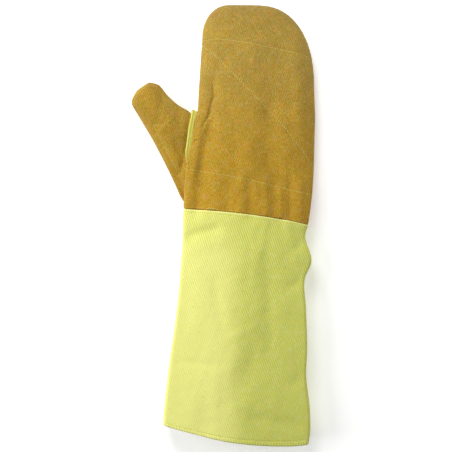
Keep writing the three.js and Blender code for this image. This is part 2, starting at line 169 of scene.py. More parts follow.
def dome(s, fullness):
    """1 in the middle and 0 at s = -1 and 1. A larger fullness gives a flatter top with rounder sides."""
    return np.sqrt(np.maximum(0, 1 - np.abs(s) ** fullness))


def even_angles(steps):
    """Stops from 0 to 1 that crowd together towards both ends, where the cloth turns over."""
    return (1 - np.cos(np.pi * np.arange(steps + 1) / steps)) / 2


print("a dome of fullness 3, halfway to its edge:", round(float(dome(0.5, 3)), 2))

# %% [markdown]
# ## The rounded fingertip end
# The fingertip end is one cut: a round left corner, a flat top and a longer, squarer right corner. A corner
# drawn as a superellipse has a single number for how square it is, which suits a hand-cut curve and takes
# fewer numbers than a list of points. Further in, the padding also rounds over towards the tip, so the rows
# there get lower by a dome.

# %% Rows of the fingertip end
FIRST_TIP_ROW = 6
TIP_ROW = 15
LEFT_STRAIGHT_ROWS = 3
LEFT_SHOULDER = (-23.1, 204.2)
LEFT_CORNER = {"x": 5.3, "y": 204.2, "radius_x": 28.4, "radius_y": 36.4, "squareness": 2}
RIGHT_CORNER = {"x": 38, "y": 151.8, "radius_x": 61.2, "radius_y": 88.3, "squareness": 2.22}
TIP_SEAM_HEIGHT = 10.5
TIP_RISE = 15
NOSE_LENGTH = 34
NOSE_FULLNESS = 2.4


def corner(shape, turn, to_right):
    """A point of a rounded corner, from its side (turn 0) to its top (turn 1)."""
    angle = np.clip(turn, 0, 1) * np.pi / 2
    along = np.maximum(np.cos(angle), 0) ** (2 / shape["squareness"])
    up = np.sin(angle) ** (2 / shape["squareness"])
    x = shape["x"] + (1 if to_right else -1) * shape["radius_x"] * along
    return x, shape["y"] + shape["radius_y"] * up


def tip_row(at):
    """A row past the last measured one, as far as the fingertip edge."""
    step = np.maximum(at - FIRST_TIP_ROW, 0)
    rows = TIP_ROW - FIRST_TIP_ROW
    start = {name: HAND_ROWS[name][-1] for name in ROW_COLUMNS}
    done, straight = step / rows, np.clip(step / LEFT_STRAIGHT_ROWS, 0, 1)
    corner_x, corner_y = corner(LEFT_CORNER, (step - LEFT_STRAIGHT_ROWS) / (rows - LEFT_STRAIGHT_ROWS), False)
    row = {"left_x": np.where(straight < 1, mix(start["left_x"], LEFT_SHOULDER[0], straight), corner_x)}
    row["left_y"] = np.where(straight < 1, mix(start["left_y"], LEFT_SHOULDER[1], straight), corner_y)
    row["right_x"], row["right_y"] = corner(RIGHT_CORNER, done, True)
    tip_y = (LEFT_CORNER["y"] + LEFT_CORNER["radius_y"] + RIGHT_CORNER["y"] + RIGHT_CORNER["radius_y"]) / 2
    to_tip = np.clip((tip_y - (row["left_y"] + row["right_y"]) / 2) / NOSE_LENGTH, 0, 1)
    row["nose"] = dome(1 - to_tip, NOSE_FULLNESS)
    row["bow"] = mix(start["bow"], 0, done)
    row["side_z"] = mix(start["side_z"], TIP_SEAM_HEIGHT, smooth(done))
    row["rise"] = mix(start["rise"], TIP_RISE, done) * row["nose"]
    return row


print("fingertip edge, y in mm:", round(float(tip_row(TIP_ROW)["left_y"]), 1))

# %% [markdown]
# ## The hand's rows
# At the wrist the hand is tucked into the cuff, so its rows below the seam follow the cuff's, a little
# smaller. Just above the seam the cloth draws in, which is what makes the cuff's folded edge stand out. One
# function gives a row at any place, so that every later step can ask for the cloth wherever it needs it.
# The value named roof says how far a row has the cuff's boxy section instead of the hand's round one.

# %% Rows of the cuff and the hand
TUCK_INSET = 1.9
DRAW_IN_FROM = 0.03
DRAW_IN_TO = 0.17
ROOF_AT_WRIST = 0.7
ROOF_SETTLES_AT = 4


def cuff_row(at):
    """A row of the cuff, which stays open (nose 1) and rests on the floor (floor_z 0) all along."""
    row = {name: read(CUFF_ROWS, name, at) for name in ROW_COLUMNS[1:]}
    row["nose"], row["floor_z"] = np.ones_like(row["rise"]), np.zeros_like(row["rise"])
    row["roof"] = mix(ROOF_AT_WRIST, 1, smooth(at / ROOF_SETTLES_AT))
    return row


def hand_row(at):
    """A row of the hand: in the cuff below 0, then the measured part, then the fingertip end."""
    at = np.asarray(at, float)
    inside, tip = cuff_row(np.maximum(-at, 0)), tip_row(at)
    body = {name: read(HAND_ROWS, name, np.clip(at, 0, FIRST_TIP_ROW)) for name in ROW_COLUMNS[1:]}
    body["nose"] = np.ones_like(at)
    row = {}
    for name, value in body.items():
        row[name] = np.where(at < 0, inside[name], np.where(at > FIRST_TIP_ROW, tip[name], value))
    inset = TUCK_INSET * smooth((DRAW_IN_TO - at) / (DRAW_IN_TO - DRAW_IN_FROM))
    row["left_x"] = row["left_x"] + inset
    row["right_x"] = row["right_x"] - inset
    row["rise"] = row["rise"] - inset
    row["floor_z"] = inset
    row["roof"] = np.where(at < 0, inside["roof"], ROOF_AT_WRIST * smooth(1 - at / ROOF_SETTLES_AT))
    return row


print("the hand inside the cuff is narrower on each side by, mm:", TUCK_INSET)

# %% [markdown]
# ## The large folds
# Cloth that has been sewn and worn lies in soft folds. Each is a line with a width and a height, like a
# stroke of a soft brush: positive strokes swell, negative ones are creases. Sculpting would give the same
# look, but a table keeps each fold where it was seen and can be read again. These large folds are in the
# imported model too.

# %% Large folds
FOLD_COLUMNS = ("from_x", "from_y", "to_x", "to_y", "half_width", "height")
LARGE_FOLDS = table(
    FOLD_COLUMNS,
    [
        (-10, 150, -12, 128, 6, -2),  # long crease beside the rolled left edge, its top
        (-15, 109, -20, 88, 6, -3),  # the same crease beside the gusset
        (-24, 70, -26.5, 57, 6, -2.8),  # the same crease over the thumb's seam
        (-27.5, 36, -28.5, 22, 6, -2.4),  # the same crease at the wrist
        (-18, 112, -37, 44, 4.5, 1.5),  # rolled edge over the thumb's seam
        (30, 185, 27, 60, 13, 1.2),  # long swell down the hand
        (58, 180, 58, 56, 13, -1.6),  # long dent beside it
        (29, 44, 30, 12, 6, -1.2),  # pucker above the wrist seam
        (61, 42, 62, 8, 6, -1.2),  # the next pucker
        (94, -13, 78, -24, 6, -1),  # folds from the three pinches in the cuff's right side
        (92, -58, 76, -64, 6, -1),
        (92, -161, 78, -167, 7, -0.7),
        (-40, -12, -12, -4, 5, -1.4),  # crease at the cuff's top left corner
        (-40, -28, -2, -16, 7, 1),  # swell below that crease
        (-20, -215, 30, -150, 14, -1),  # slack across the cuff's mouth
        (-42, 118, -39, 70, 5, -1.6),  # valley beside the gusset
        (-69, 146, -62, 140, 4, -1.2),  # dent at the thumb's tip
    ],
)
print("large folds:", len(LARGE_FOLDS["height"]))

# %% [markdown]
# ## Puckers of the hand
# Close up, the cloth has finer creases, and they depend on how it was sewn. Along the wrist seam the hand's
# wider cloth is gathered onto the cuff, so it stands in short swells with creases between them. The long
# crease has a sharp line in it, from its top down. Only the dressed cloth shows these, so they have a table
# of their own. A bump in the material could draw them too, but then the outline and the stitches would
# ignore them.

# %% Puckers of the hand
HAND_FOLDS = table(
    FOLD_COLUMNS,
    [
        (-10.6, 149, -10.6, 139, 1.6, -0.8),  # sharp line in the long crease, from its top down
        (-11, 136, -15, 120, 1.8, -1.0),
        (-16.5, 116, -22, 107, 2, -0.8),
        (-22, 104, -25, 78, 4, -0.5),
        (-19, 98, -24, 60, 9, -1.3),  # the large crease, made wider and softer beside the gusset
        (-16, 107, -20, 88, 5, 0.6),
        (-24.5, 76, -27.5, 52, 5, 1.7),
        (-30.5, 60, -33, 14, 4.2, 0.7),  # swell below the thumb's root
        (-22, 60, -24.5, 14, 4.2, -0.6),  # dip beside it
        (-38.5, 50, -39, 16, 2.4, 0.7),  # bead of cloth at the left edge
        (-12, 112, -15, 56, 8, -1.4),  # broad dip on the inner side of the long crease
        (50, 130, 50, 58, 9, -1.4),  # the long dent, deeper in its lower half
        (63, 140, 64, 74, 7, 0.8),  # swell beside it
        (80, 190, 82, 120, 8, 0.8),  # swell near the right edge
        (-9, 46, -9, 12, 7, 1.2),  # swells and creases gathered above the cuff, from left to right
        (5, 44, 5, 12, 4, -0.8),
        (19.5, 46, 20, 10, 5, 1.2),
        (45, 42, 46, 8, 4.5, 1.3),
        (54, 40, 54, 6, 3.5, -0.5),
        (62, 42, 62, 8, 6, 1.2),  # this one levels the large pucker at the same place
        (62, 36, 62, 6, 2.5, 0.6),
        (72, 60, 72, 3, 4, -1),
        (83, 38, 83, 1, 4.5, 1.2),
    ],
)
print("puckers of the hand:", len(HAND_FOLDS["height"]))

# %% [markdown]
# ## Puckers of the cuff
# The cuff isn't padded, and its stiffer twill has only long, shallow dents and swells. They hang from the
# top edge, where the hand's gathers push on it, and run down both sides. None is as deep as a millimetre,
# but on a plain pale cloth they are all that shows its shape, and a noise texture would put them in the
# wrong places.

# %% Puckers of the cuff
CUFF_FOLDS = table(
    FOLD_COLUMNS,
    [
        (-40, -28, -2, -16, 7, -0.35),  # the large swell at the top left, made lower
        (22, 0, 30, -30, 5, -0.5),  # soft creases and swells that hang from the top edge
        (46, 0, 40, -26, 4, 0.5),
        (70, -4, 76, -30, 5, 0.6),
        (34, -30, 32, -60, 6, 0.6),
        (-26, -40, -30, -110, 9, 0.5),  # broad swell down the left side
        (-8, -60, -2, -104, 6, -0.6),  # shallow dent beside it
        (48, -40, 50, -130, 7, -0.6),  # long dent down the right half
        (10, -78, 24, -108, 5, -0.4),  # soft unevenness in the middle
        (12, -118, 26, -112, 5, 0.5),
        (8, -158, 9, -188, 7, 0.6),
        (-44, -146, -16, -148, 4, -0.5),  # short crease in from the left side
        (-6, -160, -10, -200, 7, 0.5),
        (38, -206, 72, -212, 7, -0.8),  # dent above the hem
    ],
)
print("puckers of the cuff:", len(CUFF_FOLDS["height"]))

# %% [markdown]
# ## Puckers of the thumb
# The thumb is narrow and strongly curved, so its creases are short: one runs down from the tip, and one
# starts at its root, beside the gusset. Along the inner edge near the tip the cloth falls away faster than
# a dome does. A wide, deep fold beside that edge draws this too, so it needs no tool of its own.

# %% Puckers of the thumb
THUMB_FOLDS = table(
    FOLD_COLUMNS,
    [
        (-38.5, 81, -46, 60, 3, -1.7),  # crease at the thumb's root, beside the gusset
        (-37.5, 62, -37, 48, 2.4, 0.9),  # bead of cloth below it
        (-64, 140, -70, 120, 4, -0.7),  # crease down from the tip
        (-56, 116, -66, 100, 4, 0.6),
        (-66, 99, -54, 75, 4.5, 1.3),  # swell down the thumb's middle
        (-82, 132, -74, 118, 5, 0.5),
        (-53, 131, -64, 143, 9, -4),  # cloth that falls away at the inner edge near the tip
        (-62, 96, -84, 126, 8, 0.9),  # swell along the outer side
    ],
)
print("puckers of the thumb:", len(THUMB_FOLDS["height"]))

# %% [markdown]
# ## How a fold is drawn
# Across its line a fold has the bell shape of a Gauss curve, which has no edge where it ends, as a straight
# slope would have. Past the ends of the line it fades over twice its half width, so that no fold stops
# dead.

# %% Height of the folds
FADE_PAST_ENDS = 2


def fold_height(folds, x, y):
    """Sum of the folds' heights at places in plan."""
    total = np.zeros_like(x)
    for i in range(len(folds["height"])):
        dx, dy = folds["to_x"][i] - folds["from_x"][i], folds["to_y"][i] - folds["from_y"][i]
        line, half_width = math.hypot(dx, dy), folds["half_width"][i]
        along = ((x - folds["from_x"][i]) * dx + (y - folds["from_y"][i]) * dy) / line
        aside = ((x - folds["from_x"][i]) * dy - (y - folds["from_y"][i]) * dx) / line
        past = np.maximum(0, np.maximum(-along, along - line))
        bell = np.exp(-((aside / half_width) ** 2) - (past / (FADE_PAST_ENDS * half_width)) ** 2)
        total += folds["height"][i] * bell
    return total


long_crease = fold_height(LARGE_FOLDS, np.array([-11.0]), np.array([139.0]))
print("depth of the long crease, mm:", np.round(-long_crease, 1))

# %% [markdown]
# ## The rows in plan
# A face of the mitten runs from the left edge (s = -1) to the right edge (s = 1) of each row. Seen from
# above, the row bows towards the fingertips between the two, and its bow is fuller at the right. Folds fade
# out close to both edges, because the side seams hold the cloth there. Straight rows would leave the hem
# and the wrist seam straight, and on the mitten both are curved.

# %% Rows in plan
ROW_BOW_FULLNESS = {"left": 1.5, "right": 3}
FOLDS_FADE = 0.16


def row_plan(row, s):
    """Where a row runs in plan, from its left edge (s = -1) to its right edge (s = 1)."""
    bowed = 1 - np.abs(s) ** np.where(s < 0, ROW_BOW_FULLNESS["left"], ROW_BOW_FULLNESS["right"])
    x = mix(row["left_x"], row["right_x"], (s + 1) / 2)
    return x, mix(row["left_y"], row["right_y"], (s + 1) / 2) + row["bow"] * bowed


def fold_share(s):
    """How much of a fold's height shows: all of it in the middle, and none at the two side seams."""
    return smooth((1 - np.abs(s)) / FOLDS_FADE)


wrist_x, wrist_y = row_plan(hand_row(0), np.array(0.0))
print("middle of the wrist seam in plan, mm:", round(float(wrist_x), 1), round(float(wrist_y), 1))

# %% [markdown]
# ## From rows to a face of cloth
# The hand's upper face is a dome on each row. The lower face is a fuller dome, cut off level where it
# rests. The cuff isn't stuffed, so its upper face is a low roof with steep sides, highest near the middle,
# and at the wrist the hand's dome changes into that roof. Cloth simulated over padding would find such
# sections by itself, but it would also move the creases from where they were seen. The shape is worked out
# for whole arrays of places at once, which keeps a fine mesh quick.

# %% Points of a face
UPPER, LOWER = 1, -1
FULLNESS = {UPPER: 3, LOWER: 6}
FLATTENED_BY_WEIGHT = 1.12
SEW_GAP = 0.3
ROOF_FULLNESS = 90
ROOF = table(
    ("at", "height"),
    [
        (-1, 0.66),
        (-0.8, 0.75),
        (-0.5, 0.9),
        (-0.2, 0.98),
        (0, 1),
        (0.2, 0.95),
        (0.45, 0.85),
        (1, 0.77),
    ],
)


def face_points(row, s, side, lift, gap):
    """Points of the upper or lower face. lift moves places away from the side seam's height."""
    x, y = row_plan(row, s)
    full = dome(s, FULLNESS[side])
    if side == UPPER:
        fold = fold_height(LARGE_FOLDS, x, y) * fold_share(s) * row["nose"]
        roof = dome(s, ROOF_FULLNESS) * read(ROOF, "height", s)
        z = row["side_z"] + gap / 2 + lift + row["rise"] * mix(full, roof, row["roof"]) + fold
    else:
        drop = FLATTENED_BY_WEIGHT * (row["side_z"] - row["floor_z"]) * row["nose"] * full
        z = np.maximum(row["floor_z"], row["side_z"] - gap / 2 - lift - drop)
    return np.stack(np.broadcast_arrays(x, y, z), axis=-1)


middle_of_hand = face_points(hand_row(3), np.array(0.0), UPPER, 0, SEW_GAP)
print("height of the middle of the hand, mm:", round(float(middle_of_hand[2]), 1))

# %% [markdown]
# ## Which way the cloth faces
# A wall of cloth is thick along its normals, so each point needs one. Blender gives a finished mesh its
# normals, but here they are needed before there is a mesh. They come from the neighbouring points of the
# grid. Where two panels are sewn together their cut edges have to meet, so the normals there are level.

# %% Normals of tubes and panels
TINY = 1e-9


def length(vectors):
    return np.linalg.norm(vectors, axis=-1, keepdims=True)


def unit(vectors):
    return vectors / np.maximum(length(vectors), TINY)


def normals_round(points):
    """The outward normal of each point of a tube of cloth, from its neighbours."""
    across = np.roll(points, -1, axis=1) - np.roll(points, 1, axis=1)
    return unit(np.cross(across, np.gradient(points, axis=0)))


def level_normals(edge, hand):
    """Level normals of an edge, to its left (hand 1) or right (hand -1) in plan."""
    return unit(np.gradient(edge, axis=0)[:, (1, 0, 2)] * (-hand, hand, 0))


def panel_normals(points, side):
    """Outward normals of a panel, level on its three cut edges."""
    normals = side * unit(np.cross(np.gradient(points, axis=1), np.gradient(points, axis=0)))
    left = level_normals(points[:, 0], 1)
    right = level_normals(points[:, -1], -1)
    end = level_normals(points[-1], 1)
    normals[:, 0] = left
    normals[:, -1] = right
    normals[-1, 1:-1] = end[1:-1]
    normals[-1, 0] = left[-1] + end[0]
    normals[-1, -1] = right[-1] + end[-1]
    return unit(normals)


flat_square = np.stack([*np.meshgrid(np.arange(3.0), np.arange(3.0)), np.zeros((3, 3))], axis=-1)
print("normal in the middle of a flat panel:", panel_normals(flat_square, UPPER)[1, 1])

# %% [markdown]
# ## The cloth's own measure
# The weave has to keep its size where the cloth turns over an edge, so it isn't drawn in the room's
# coordinates but in the cloth's: every face corner gets its place on the flat cloth in millimetres,
# measured along the surface. Unwrapping by hand would do the same, and measuring makes it repeatable.

# %% Places on the flat cloth
def flat_places(points):
    """Where each point of a grid lies on the flat cloth, from distances along its rows and its columns."""
    across, along = np.diff(points, axis=1), np.diff(points, axis=0)
    step_x = np.hypot(across[..., 0], across[..., 2])
    step_y = np.hypot(along[..., 1], along[..., 2])
    middle = points.shape[1] // 2
    x = np.concatenate([np.zeros((len(points), 1)), np.cumsum(step_x, axis=1)], axis=1)
    x += points[:, middle : middle + 1, 0] - x[:, middle : middle + 1]
    y = points[0, :, 1] + np.concatenate([np.zeros((1, points.shape[1])), np.cumsum(step_y, axis=0)])
    return np.stack([x, y], axis=-1)


print("cloth across a flat panel 2 mm wide:", np.ptp(flat_places(flat_square)[0, :, 0]))

# %% [markdown]
# ## From a face to a wall of cloth
# A single face has no thickness, and a cut edge would look like paper. So each piece is a closed wall: an
# outer grid of points, an inner grid one cloth thickness further in, and a rim where the first and last
# rows turn from one to the other. Solidify could do this too, but building the wall from two grids
# lets the small puckers show on the outside only, and lets the wall be thicker at the hem. The tables'
# middle isn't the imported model's, so a short step to the left and down brings every piece into its frame.

# %% A new piece
TO_FRAME = np.array([-0.2511, -2.1158, 0])


def new_piece(name, points, faces):
    """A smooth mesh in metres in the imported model's frame, from points in the tables' millimetres."""
    mesh = bpy.data.meshes.new(name)
    mesh.from_pydata(((points + TO_FRAME) / 1000).reshape(-1, 3).tolist(), [], faces)
    mesh.shade_smooth()
    piece = bpy.data.objects.new(name, mesh)
    bpy.context.scene.collection.objects.link(piece)
    triangles = sum(len(face) - 2 for face in faces)
    print(name, "triangles:", triangles, "size in mm:", np.round(np.ptp(points.reshape(-1, 3), axis=0), 1))
    return piece


print("step into the packed model's frame, mm:", TO_FRAME[:2])

# %% [markdown]
# ## Rims and open sides
# The wall is one grid bent round: along the outside, round one rim, back along the inside and round the
# other rim. A few extra rows take each rim round. The cuff's folded edges bulge in nearly half a circle,
# and the panels' cut edges stay flat. A Bevel modifier would round an edge as well, but it would add rows
# of its own, and the cuff's marks are kept row by row. A panel's two sides stay open in such a grid, so
# each outer row is joined there to the inner row that lies behind it.

# %% Rims and open sides
RIM_STEPS = 4
RIM_ROWS = RIM_STEPS - 1


def rim(outer, inner, before, bulge):
    """The rim between the last outer row and the last inner row. It is flat where bulge is 0."""
    middle, half = (outer + inner) / 2, (outer - inner) / 2
    away = unit(outer - before) * length(half) * bulge
    turns = np.pi * np.arange(1, RIM_STEPS) / RIM_STEPS
    return [middle + half * math.cos(turn) + away * math.sin(turn) for turn in turns]


def side_loops(rows, outer_rows):
    """The rows that the faces join on the open side of a wall: a strip of quads, and one face at each rim."""
    last = outer_rows - 1

    def facing(k):
        """The inner row that lies behind outer row k."""
        return rows - RIM_ROWS - 1 - k

    loops = [[k, k + 1, facing(k + 1), facing(k)] for k in range(last)]
    loops.append([last, *range(outer_rows, outer_rows + RIM_ROWS), facing(last)])
    loops.append([0, facing(0), *range(rows - RIM_ROWS, rows)])
    return loops


few_rows = 5
few_loops = side_loops(2 * (few_rows + RIM_ROWS), few_rows)
print("faces that close one side of a wall with", few_rows, "outer rows:", len(few_loops))

# %% [markdown]
# ## The mesh of a wall
# Four neighbours in the grid make a face, and each of its corners keeps its place on the flat cloth. A
# panel ends at its two sides, while the cuff's tube wraps round to its first column. A lower panel is the
# upper one turned over, so its faces have to be turned round to look outward. Recalculating the normals in
# edit mode would do that too, but a script should leave nothing to be guessed.

# %% The mesh of a wall
def wall_piece(name, outer, inner, places, wraps=False, downward=False, bulge=0.0):
    """The closed mesh of a wall from its two grids, with each face corner's place on the flat cloth."""
    end_rim = rim(outer[-1], inner[-1], outer[-2], bulge)
    start_rim = rim(outer[0], inner[0], outer[1], bulge)[::-1]
    loops = np.array([*outer, *end_rim, *inner[::-1], *start_rim])
    flats = np.array([*places, *[places[-1]] * RIM_ROWS, *places[::-1], *[places[0]] * RIM_ROWS])
    rows, columns = loops.shape[:2]
    j, i = np.meshgrid(np.arange(rows), np.arange(columns if wraps else columns - 1), indexing="ij")
    ahead, up = (i + 1) % columns, (j + 1) % rows
    quads = np.stack([j * columns + i, j * columns + ahead, up * columns + ahead, up * columns + i], -1)
    faces = quads.reshape(-1, 4).tolist()
    corners = [np.stack([flats[j, i], flats[j, i + 1], flats[up, i + 1], flats[up, i]], -2).reshape(-1, 2)]
    if not wraps:
        for column, turned in ((0, False), (columns - 1, True)):
            for side in side_loops(rows, len(outer)):
                side = side[::-1] if turned else side
                faces.append([row * columns + column for row in side])
                corners.append(flats[side, column])
    corners = np.concatenate(corners)
    if downward:
        faces = [face[::-1] for face in faces]
        starts = np.cumsum([len(face) for face in faces])[:-1]
        corners = np.concatenate([part[::-1] for part in np.split(corners, starts)])
    piece = new_piece(name, loops, faces)
    piece.data.uv_layers.new(name="cloth_mm")
    piece.data.uv_layers["cloth_mm"].data.foreach_set("uv", corners.astype(np.float32).ravel())
    return piece


print("rows added for each rim:", RIM_ROWS)

# %% [markdown]
# ## Grooves
# A line of stitches pulls the padding into a shallow groove, and a seam turns the cloth in on both sides.
# Both are a distance to a line, turned into a depth by the same bell curve as the folds. Carving them by
# hand would do too, but a formula keeps a groove evenly wide, and the thread that is laid later finds its
# middle.

# %% Distance and depth
FAR_OFF = 1e9


def near_line(points, line):
    """Distance in plan from each point of a grid to a line of points."""
    nearest = np.full(points.shape[:2], FAR_OFF)
    for start, end in zip(line[:-1], line[1:]):
        step = end[:2] - start[:2]
        offset = points[..., :2] - start[:2]
        t = np.clip((offset @ step) / max(float(step @ step), TINY), 0, 1)
        nearest = np.minimum(nearest, np.hypot(offset[..., 0] - t * step[0], offset[..., 1] - t * step[1]))
    return nearest


def groove(distance, half_width, depth):
    """The height of a groove at a distance from its middle: below 0, and least in the middle."""
    return -depth * np.exp(-((distance / half_width) ** 2))


print("a groove 1 mm deep, half its half width from the middle:", round(float(groove(0.5, 1, 1)), 2))

# %% [markdown]
# ## Uneven cloth
# No cloth is quite even: slow, low waves run over it. A few sine waves in random directions imitate that
# well, and unlike a noise texture they move the real surface, so that light and outline agree. The waves
# come from a seeded generator, so each run gives the same mitten.

# %% Waves in the cloth
WAVE_COUNT = 9
WAVE_PITCH_RANGE = (0.6, 1.6)


def unevenness(points, size, height, seed):
    """Slow waves over the cloth, about size millimetres from crest to crest."""
    random = np.random.default_rng(seed)
    total = np.zeros(points.shape[:-1])
    for _ in range(WAVE_COUNT):
        direction = unit(random.normal(size=3))
        pitch = size * random.uniform(*WAVE_PITCH_RANGE)
        total += np.sin(2 * np.pi * (points @ direction) / pitch + random.uniform(0, 2 * np.pi))
    return height * total / math.sqrt(WAVE_COUNT)


def uneven(points, waves, shown, side=0):
    """Waves of several sizes, where shown lets them. Each row of waves is a size, a height and a seed."""
    return sum(unevenness(points, size, height, seed + side) * shown for size, height, seed in waves)


print("waves on a flat panel, mm:", np.round(unevenness(flat_square, 5, 0.2, 1)[0], 2))

# %% [markdown]
# ## Smooth lines
# Stitch lines, the thumb's edges and loose ends are given by a few points each. A Catmull-Rom curve passes
# through all of them, and its centripetal form doesn't loop where two points lie close together. A Bezier
# curve would need two handles for every point. The curve is then cut into even steps, because stitches have
# to be equally long.

# %% A smooth line through a few points
POINTS_BETWEEN = 60
SHORTEST_STEP = 1e-6


def smooth_line(points, count):
    """A smooth curve through a few points, as count even steps or at the given shares of its length."""
    points = np.array(points, float)
    ends = [2 * points[0] - points[1], *points, 2 * points[-1] - points[-2]]
    dense = []
    for p0, p1, p2, p3 in zip(ends, ends[1:], ends[2:], ends[3:]):
        pairs = ((p0, p1), (p1, p2), (p2, p3))
        d0, d1, d2 = (max(float(np.linalg.norm(b - a)) ** 0.5, SHORTEST_STEP) for a, b in pairs)
        m1 = d1 * ((p1 - p0) / d0 - (p2 - p0) / (d0 + d1) + (p2 - p1) / d1)
        m2 = d1 * ((p2 - p1) / d1 - (p3 - p1) / (d1 + d2) + (p3 - p2) / d2)
        t = np.linspace(0, 1, POINTS_BETWEEN, endpoint=False)[:, None]
        dense.append((2 * t**3 - 3 * t**2 + 1) * p1 + (t**3 - 2 * t**2 + t) * m1)
        dense[-1] += (3 * t**2 - 2 * t**3) * p2 + (t**3 - t**2) * m2
    dense = np.concatenate([*dense, points[-1:]])
    gone = np.concatenate([[0], np.cumsum(np.linalg.norm(np.diff(dense, axis=0), axis=1))])
    stops = np.linspace(0, gone[-1], count) if np.isscalar(count) else np.asarray(count) * gone[-1]
    return np.stack([np.interp(stops, gone, dense[:, k]) for k in range(points.shape[1])], axis=-1)


print("middle of a bent line:", np.round(smooth_line([(0, 0), (10, 5), (20, 0)], 3)[1], 1))

# %% [markdown]
# ## Lines of stitches
# The padding is held by lines of pale stitching: one across the fingertips, one running down from the index
# finger to the heel of the hand, one across the wrist, and one along the thumb. The same lines are used
# twice: first to groove the cloth, later to lay the thread. One more line, without thread, is the sharp
# fold at the top of the long crease. All are kept in plan alone, because the cloth under them decides how
# high they lie.

# %% Stitch lines in plan
FINGERTIP_LINE = [(-22.8, 199.4), (-8, 200.4), (8.5, 198.6), (34.2, 194.2), (61.7, 188.8), (94, 181.6)]
FINGER_TO_HEEL_LINE = [
    (-22.8, 194.8),
    (-8, 182.1),
    (8.5, 165.6),
    (34.7, 138.1),
    (61.5, 110.5),
    (75.5, 93),
    (93, 70),
]
WRIST_LINE = [(-40, 60.6), (-15.3, 56.4), (16.9, 50.9), (44.1, 44.7), (64.9, 39.4), (94.4, 33)]
THUMB_LINE = [(-75.4, 109.4), (-69.4, 96.3), (-57.4, 73.3), (-50.3, 60.2), (-44.4, 45.5)]
CREASE_LINE = [(-10.6, 149), (-10.6, 137.5), (-13.5, 129), (-15.6, 118.6), (-20, 112.1), (-23.4, 105)]

LONG_LINE_POINTS = 60
SHORT_LINE_POINTS = 40

long_lines = (FINGERTIP_LINE, FINGER_TO_HEEL_LINE, WRIST_LINE)
hand_lines = [smooth_line(line, LONG_LINE_POINTS) for line in long_lines]
thumb_line = smooth_line(THUMB_LINE, SHORT_LINE_POINTS)
crease_line = smooth_line(CREASE_LINE, SHORT_LINE_POINTS)
line_lengths = [np.linalg.norm(np.diff(line, axis=0), axis=1).sum() for line in (*hand_lines, thumb_line)]
print("stitch lines, mm:", np.round(line_lengths))

# %% [markdown]
# ## Room for the thumb
# The thumb is sewn into a long hole in the hand's left side seam. Upper and lower panel part there: the rim
# of the hole stands up steeply, and the cloth further in follows softly. The hole opens slowly from the
# wrist and ends squarely at the crotch, as a slit does when a round tube is sewn into it. A boolean cut
# would take cloth away, where the real panels only part, so here the points are moved instead.

# %% The thumb hole's height
HOLE = {"wrist_row": 0.2, "crotch_row": 5, "half_height": 9.5, "squareness": 5, "open_from": 0.3}


def hole_share(at):
    """How far a row is from the hole's wrist end (0) to its crotch end (1)."""
    return np.clip((at - HOLE["wrist_row"]) / (HOLE["crotch_row"] - HOLE["wrist_row"]), 0, 1)


def hole_height(at):
    """Half the hole's height at its rim."""
    share = hole_share(at)
    return HOLE["half_height"] * smooth(share / HOLE["open_from"]) * dome(share, 2 * HOLE["squareness"])


def hole_lift(at, s, full):
    """How far the left part of a face stands up for the hole: steeply at the rim, softly further in."""
    share = hole_share(at)
    soft = HOLE["half_height"] * smooth(2 - 2 * share) * smooth(2 * share)
    return np.where(s < 0, (1 - full) * mix(soft, hole_height(at), (1 - full) ** 2), 0)


print("the hole's height at row 3, mm:", round(2 * float(hole_height(3)), 1))

# %% [markdown]
# ## Rows of the hand panels
# Upper and lower panel are the same cut. The rows crowd together at the ends of the thumb hole, at the
# wrist and at the fingertip end, and the columns at the two sides, because the cloth turns quickly there.
# An even, finer grid would cost several times the points.

# %% Rows of the hand panels
HAND_COLUMNS = 160

hand_stops = np.concatenate(
    [
        np.linspace(-0.75, 0, 6)[:-1],  # tucked into the cuff
        np.linspace(0, 0.07, 14)[:-1],  # the turn at the cuff's edge
        np.linspace(0.07, 0.19, 7),  # from there to the thumb hole
        mix(HOLE["wrist_row"], HOLE["crotch_row"], even_angles(92)),  # along the hole
        np.linspace(5.07, 8.4, 54),  # from the crotch to the left shoulder
        np.linspace(8.5, TIP_ROW, 62),  # the fingertip end
    ]
)
print("rows and columns of a hand panel:", len(hand_stops), HAND_COLUMNS + 1)

# %% [markdown]
# ## Relief of the hand
# The inner side of a panel keeps to the plain shape, and the outer side adds the puckers, the stitch
# grooves and the seam. Only the upper panel has the long crease, whose sharp fold is beaded where the
# fabric bunches up. At the wrist all relief fades out, so that the hand slips neatly under the cuff's edge.
# A displacement map could carry the relief, but the thread is laid on the mesh and would not find it there.

# %% Relief of the hand
HAND_WAVES = [(26, 0.22, 4), (9, 0.07, 9)]
THREAD_GROOVE = {"half_width": 1.0, "depth": 0.45}
HAND_PULLED_IN = {"half_width": 5, "depth": 0.3}
SIDE_SEAM = {"half_width": 1.1, "depth": 0.7}
HOLE_ROLL = {"height": 0.3, "half_width": 3}
CREASE = {"half_width": 1.6, "depth": 0.8}
CREASE_BEADS = {"pitch": 4.6, "least": 0.6, "swing": 0.4}
WRIST_FADE = 0.12
SEAM_OUT_FROM = 0.002
SEAM_OUT_TO = 0.04


def seam_turn(points, *columns):
    """How far the cloth turns in beside its seams, which run along the given columns of the grid."""
    return sum(groove(length(points - points[:, column, None])[..., 0], **SIDE_SEAM) for column in columns)


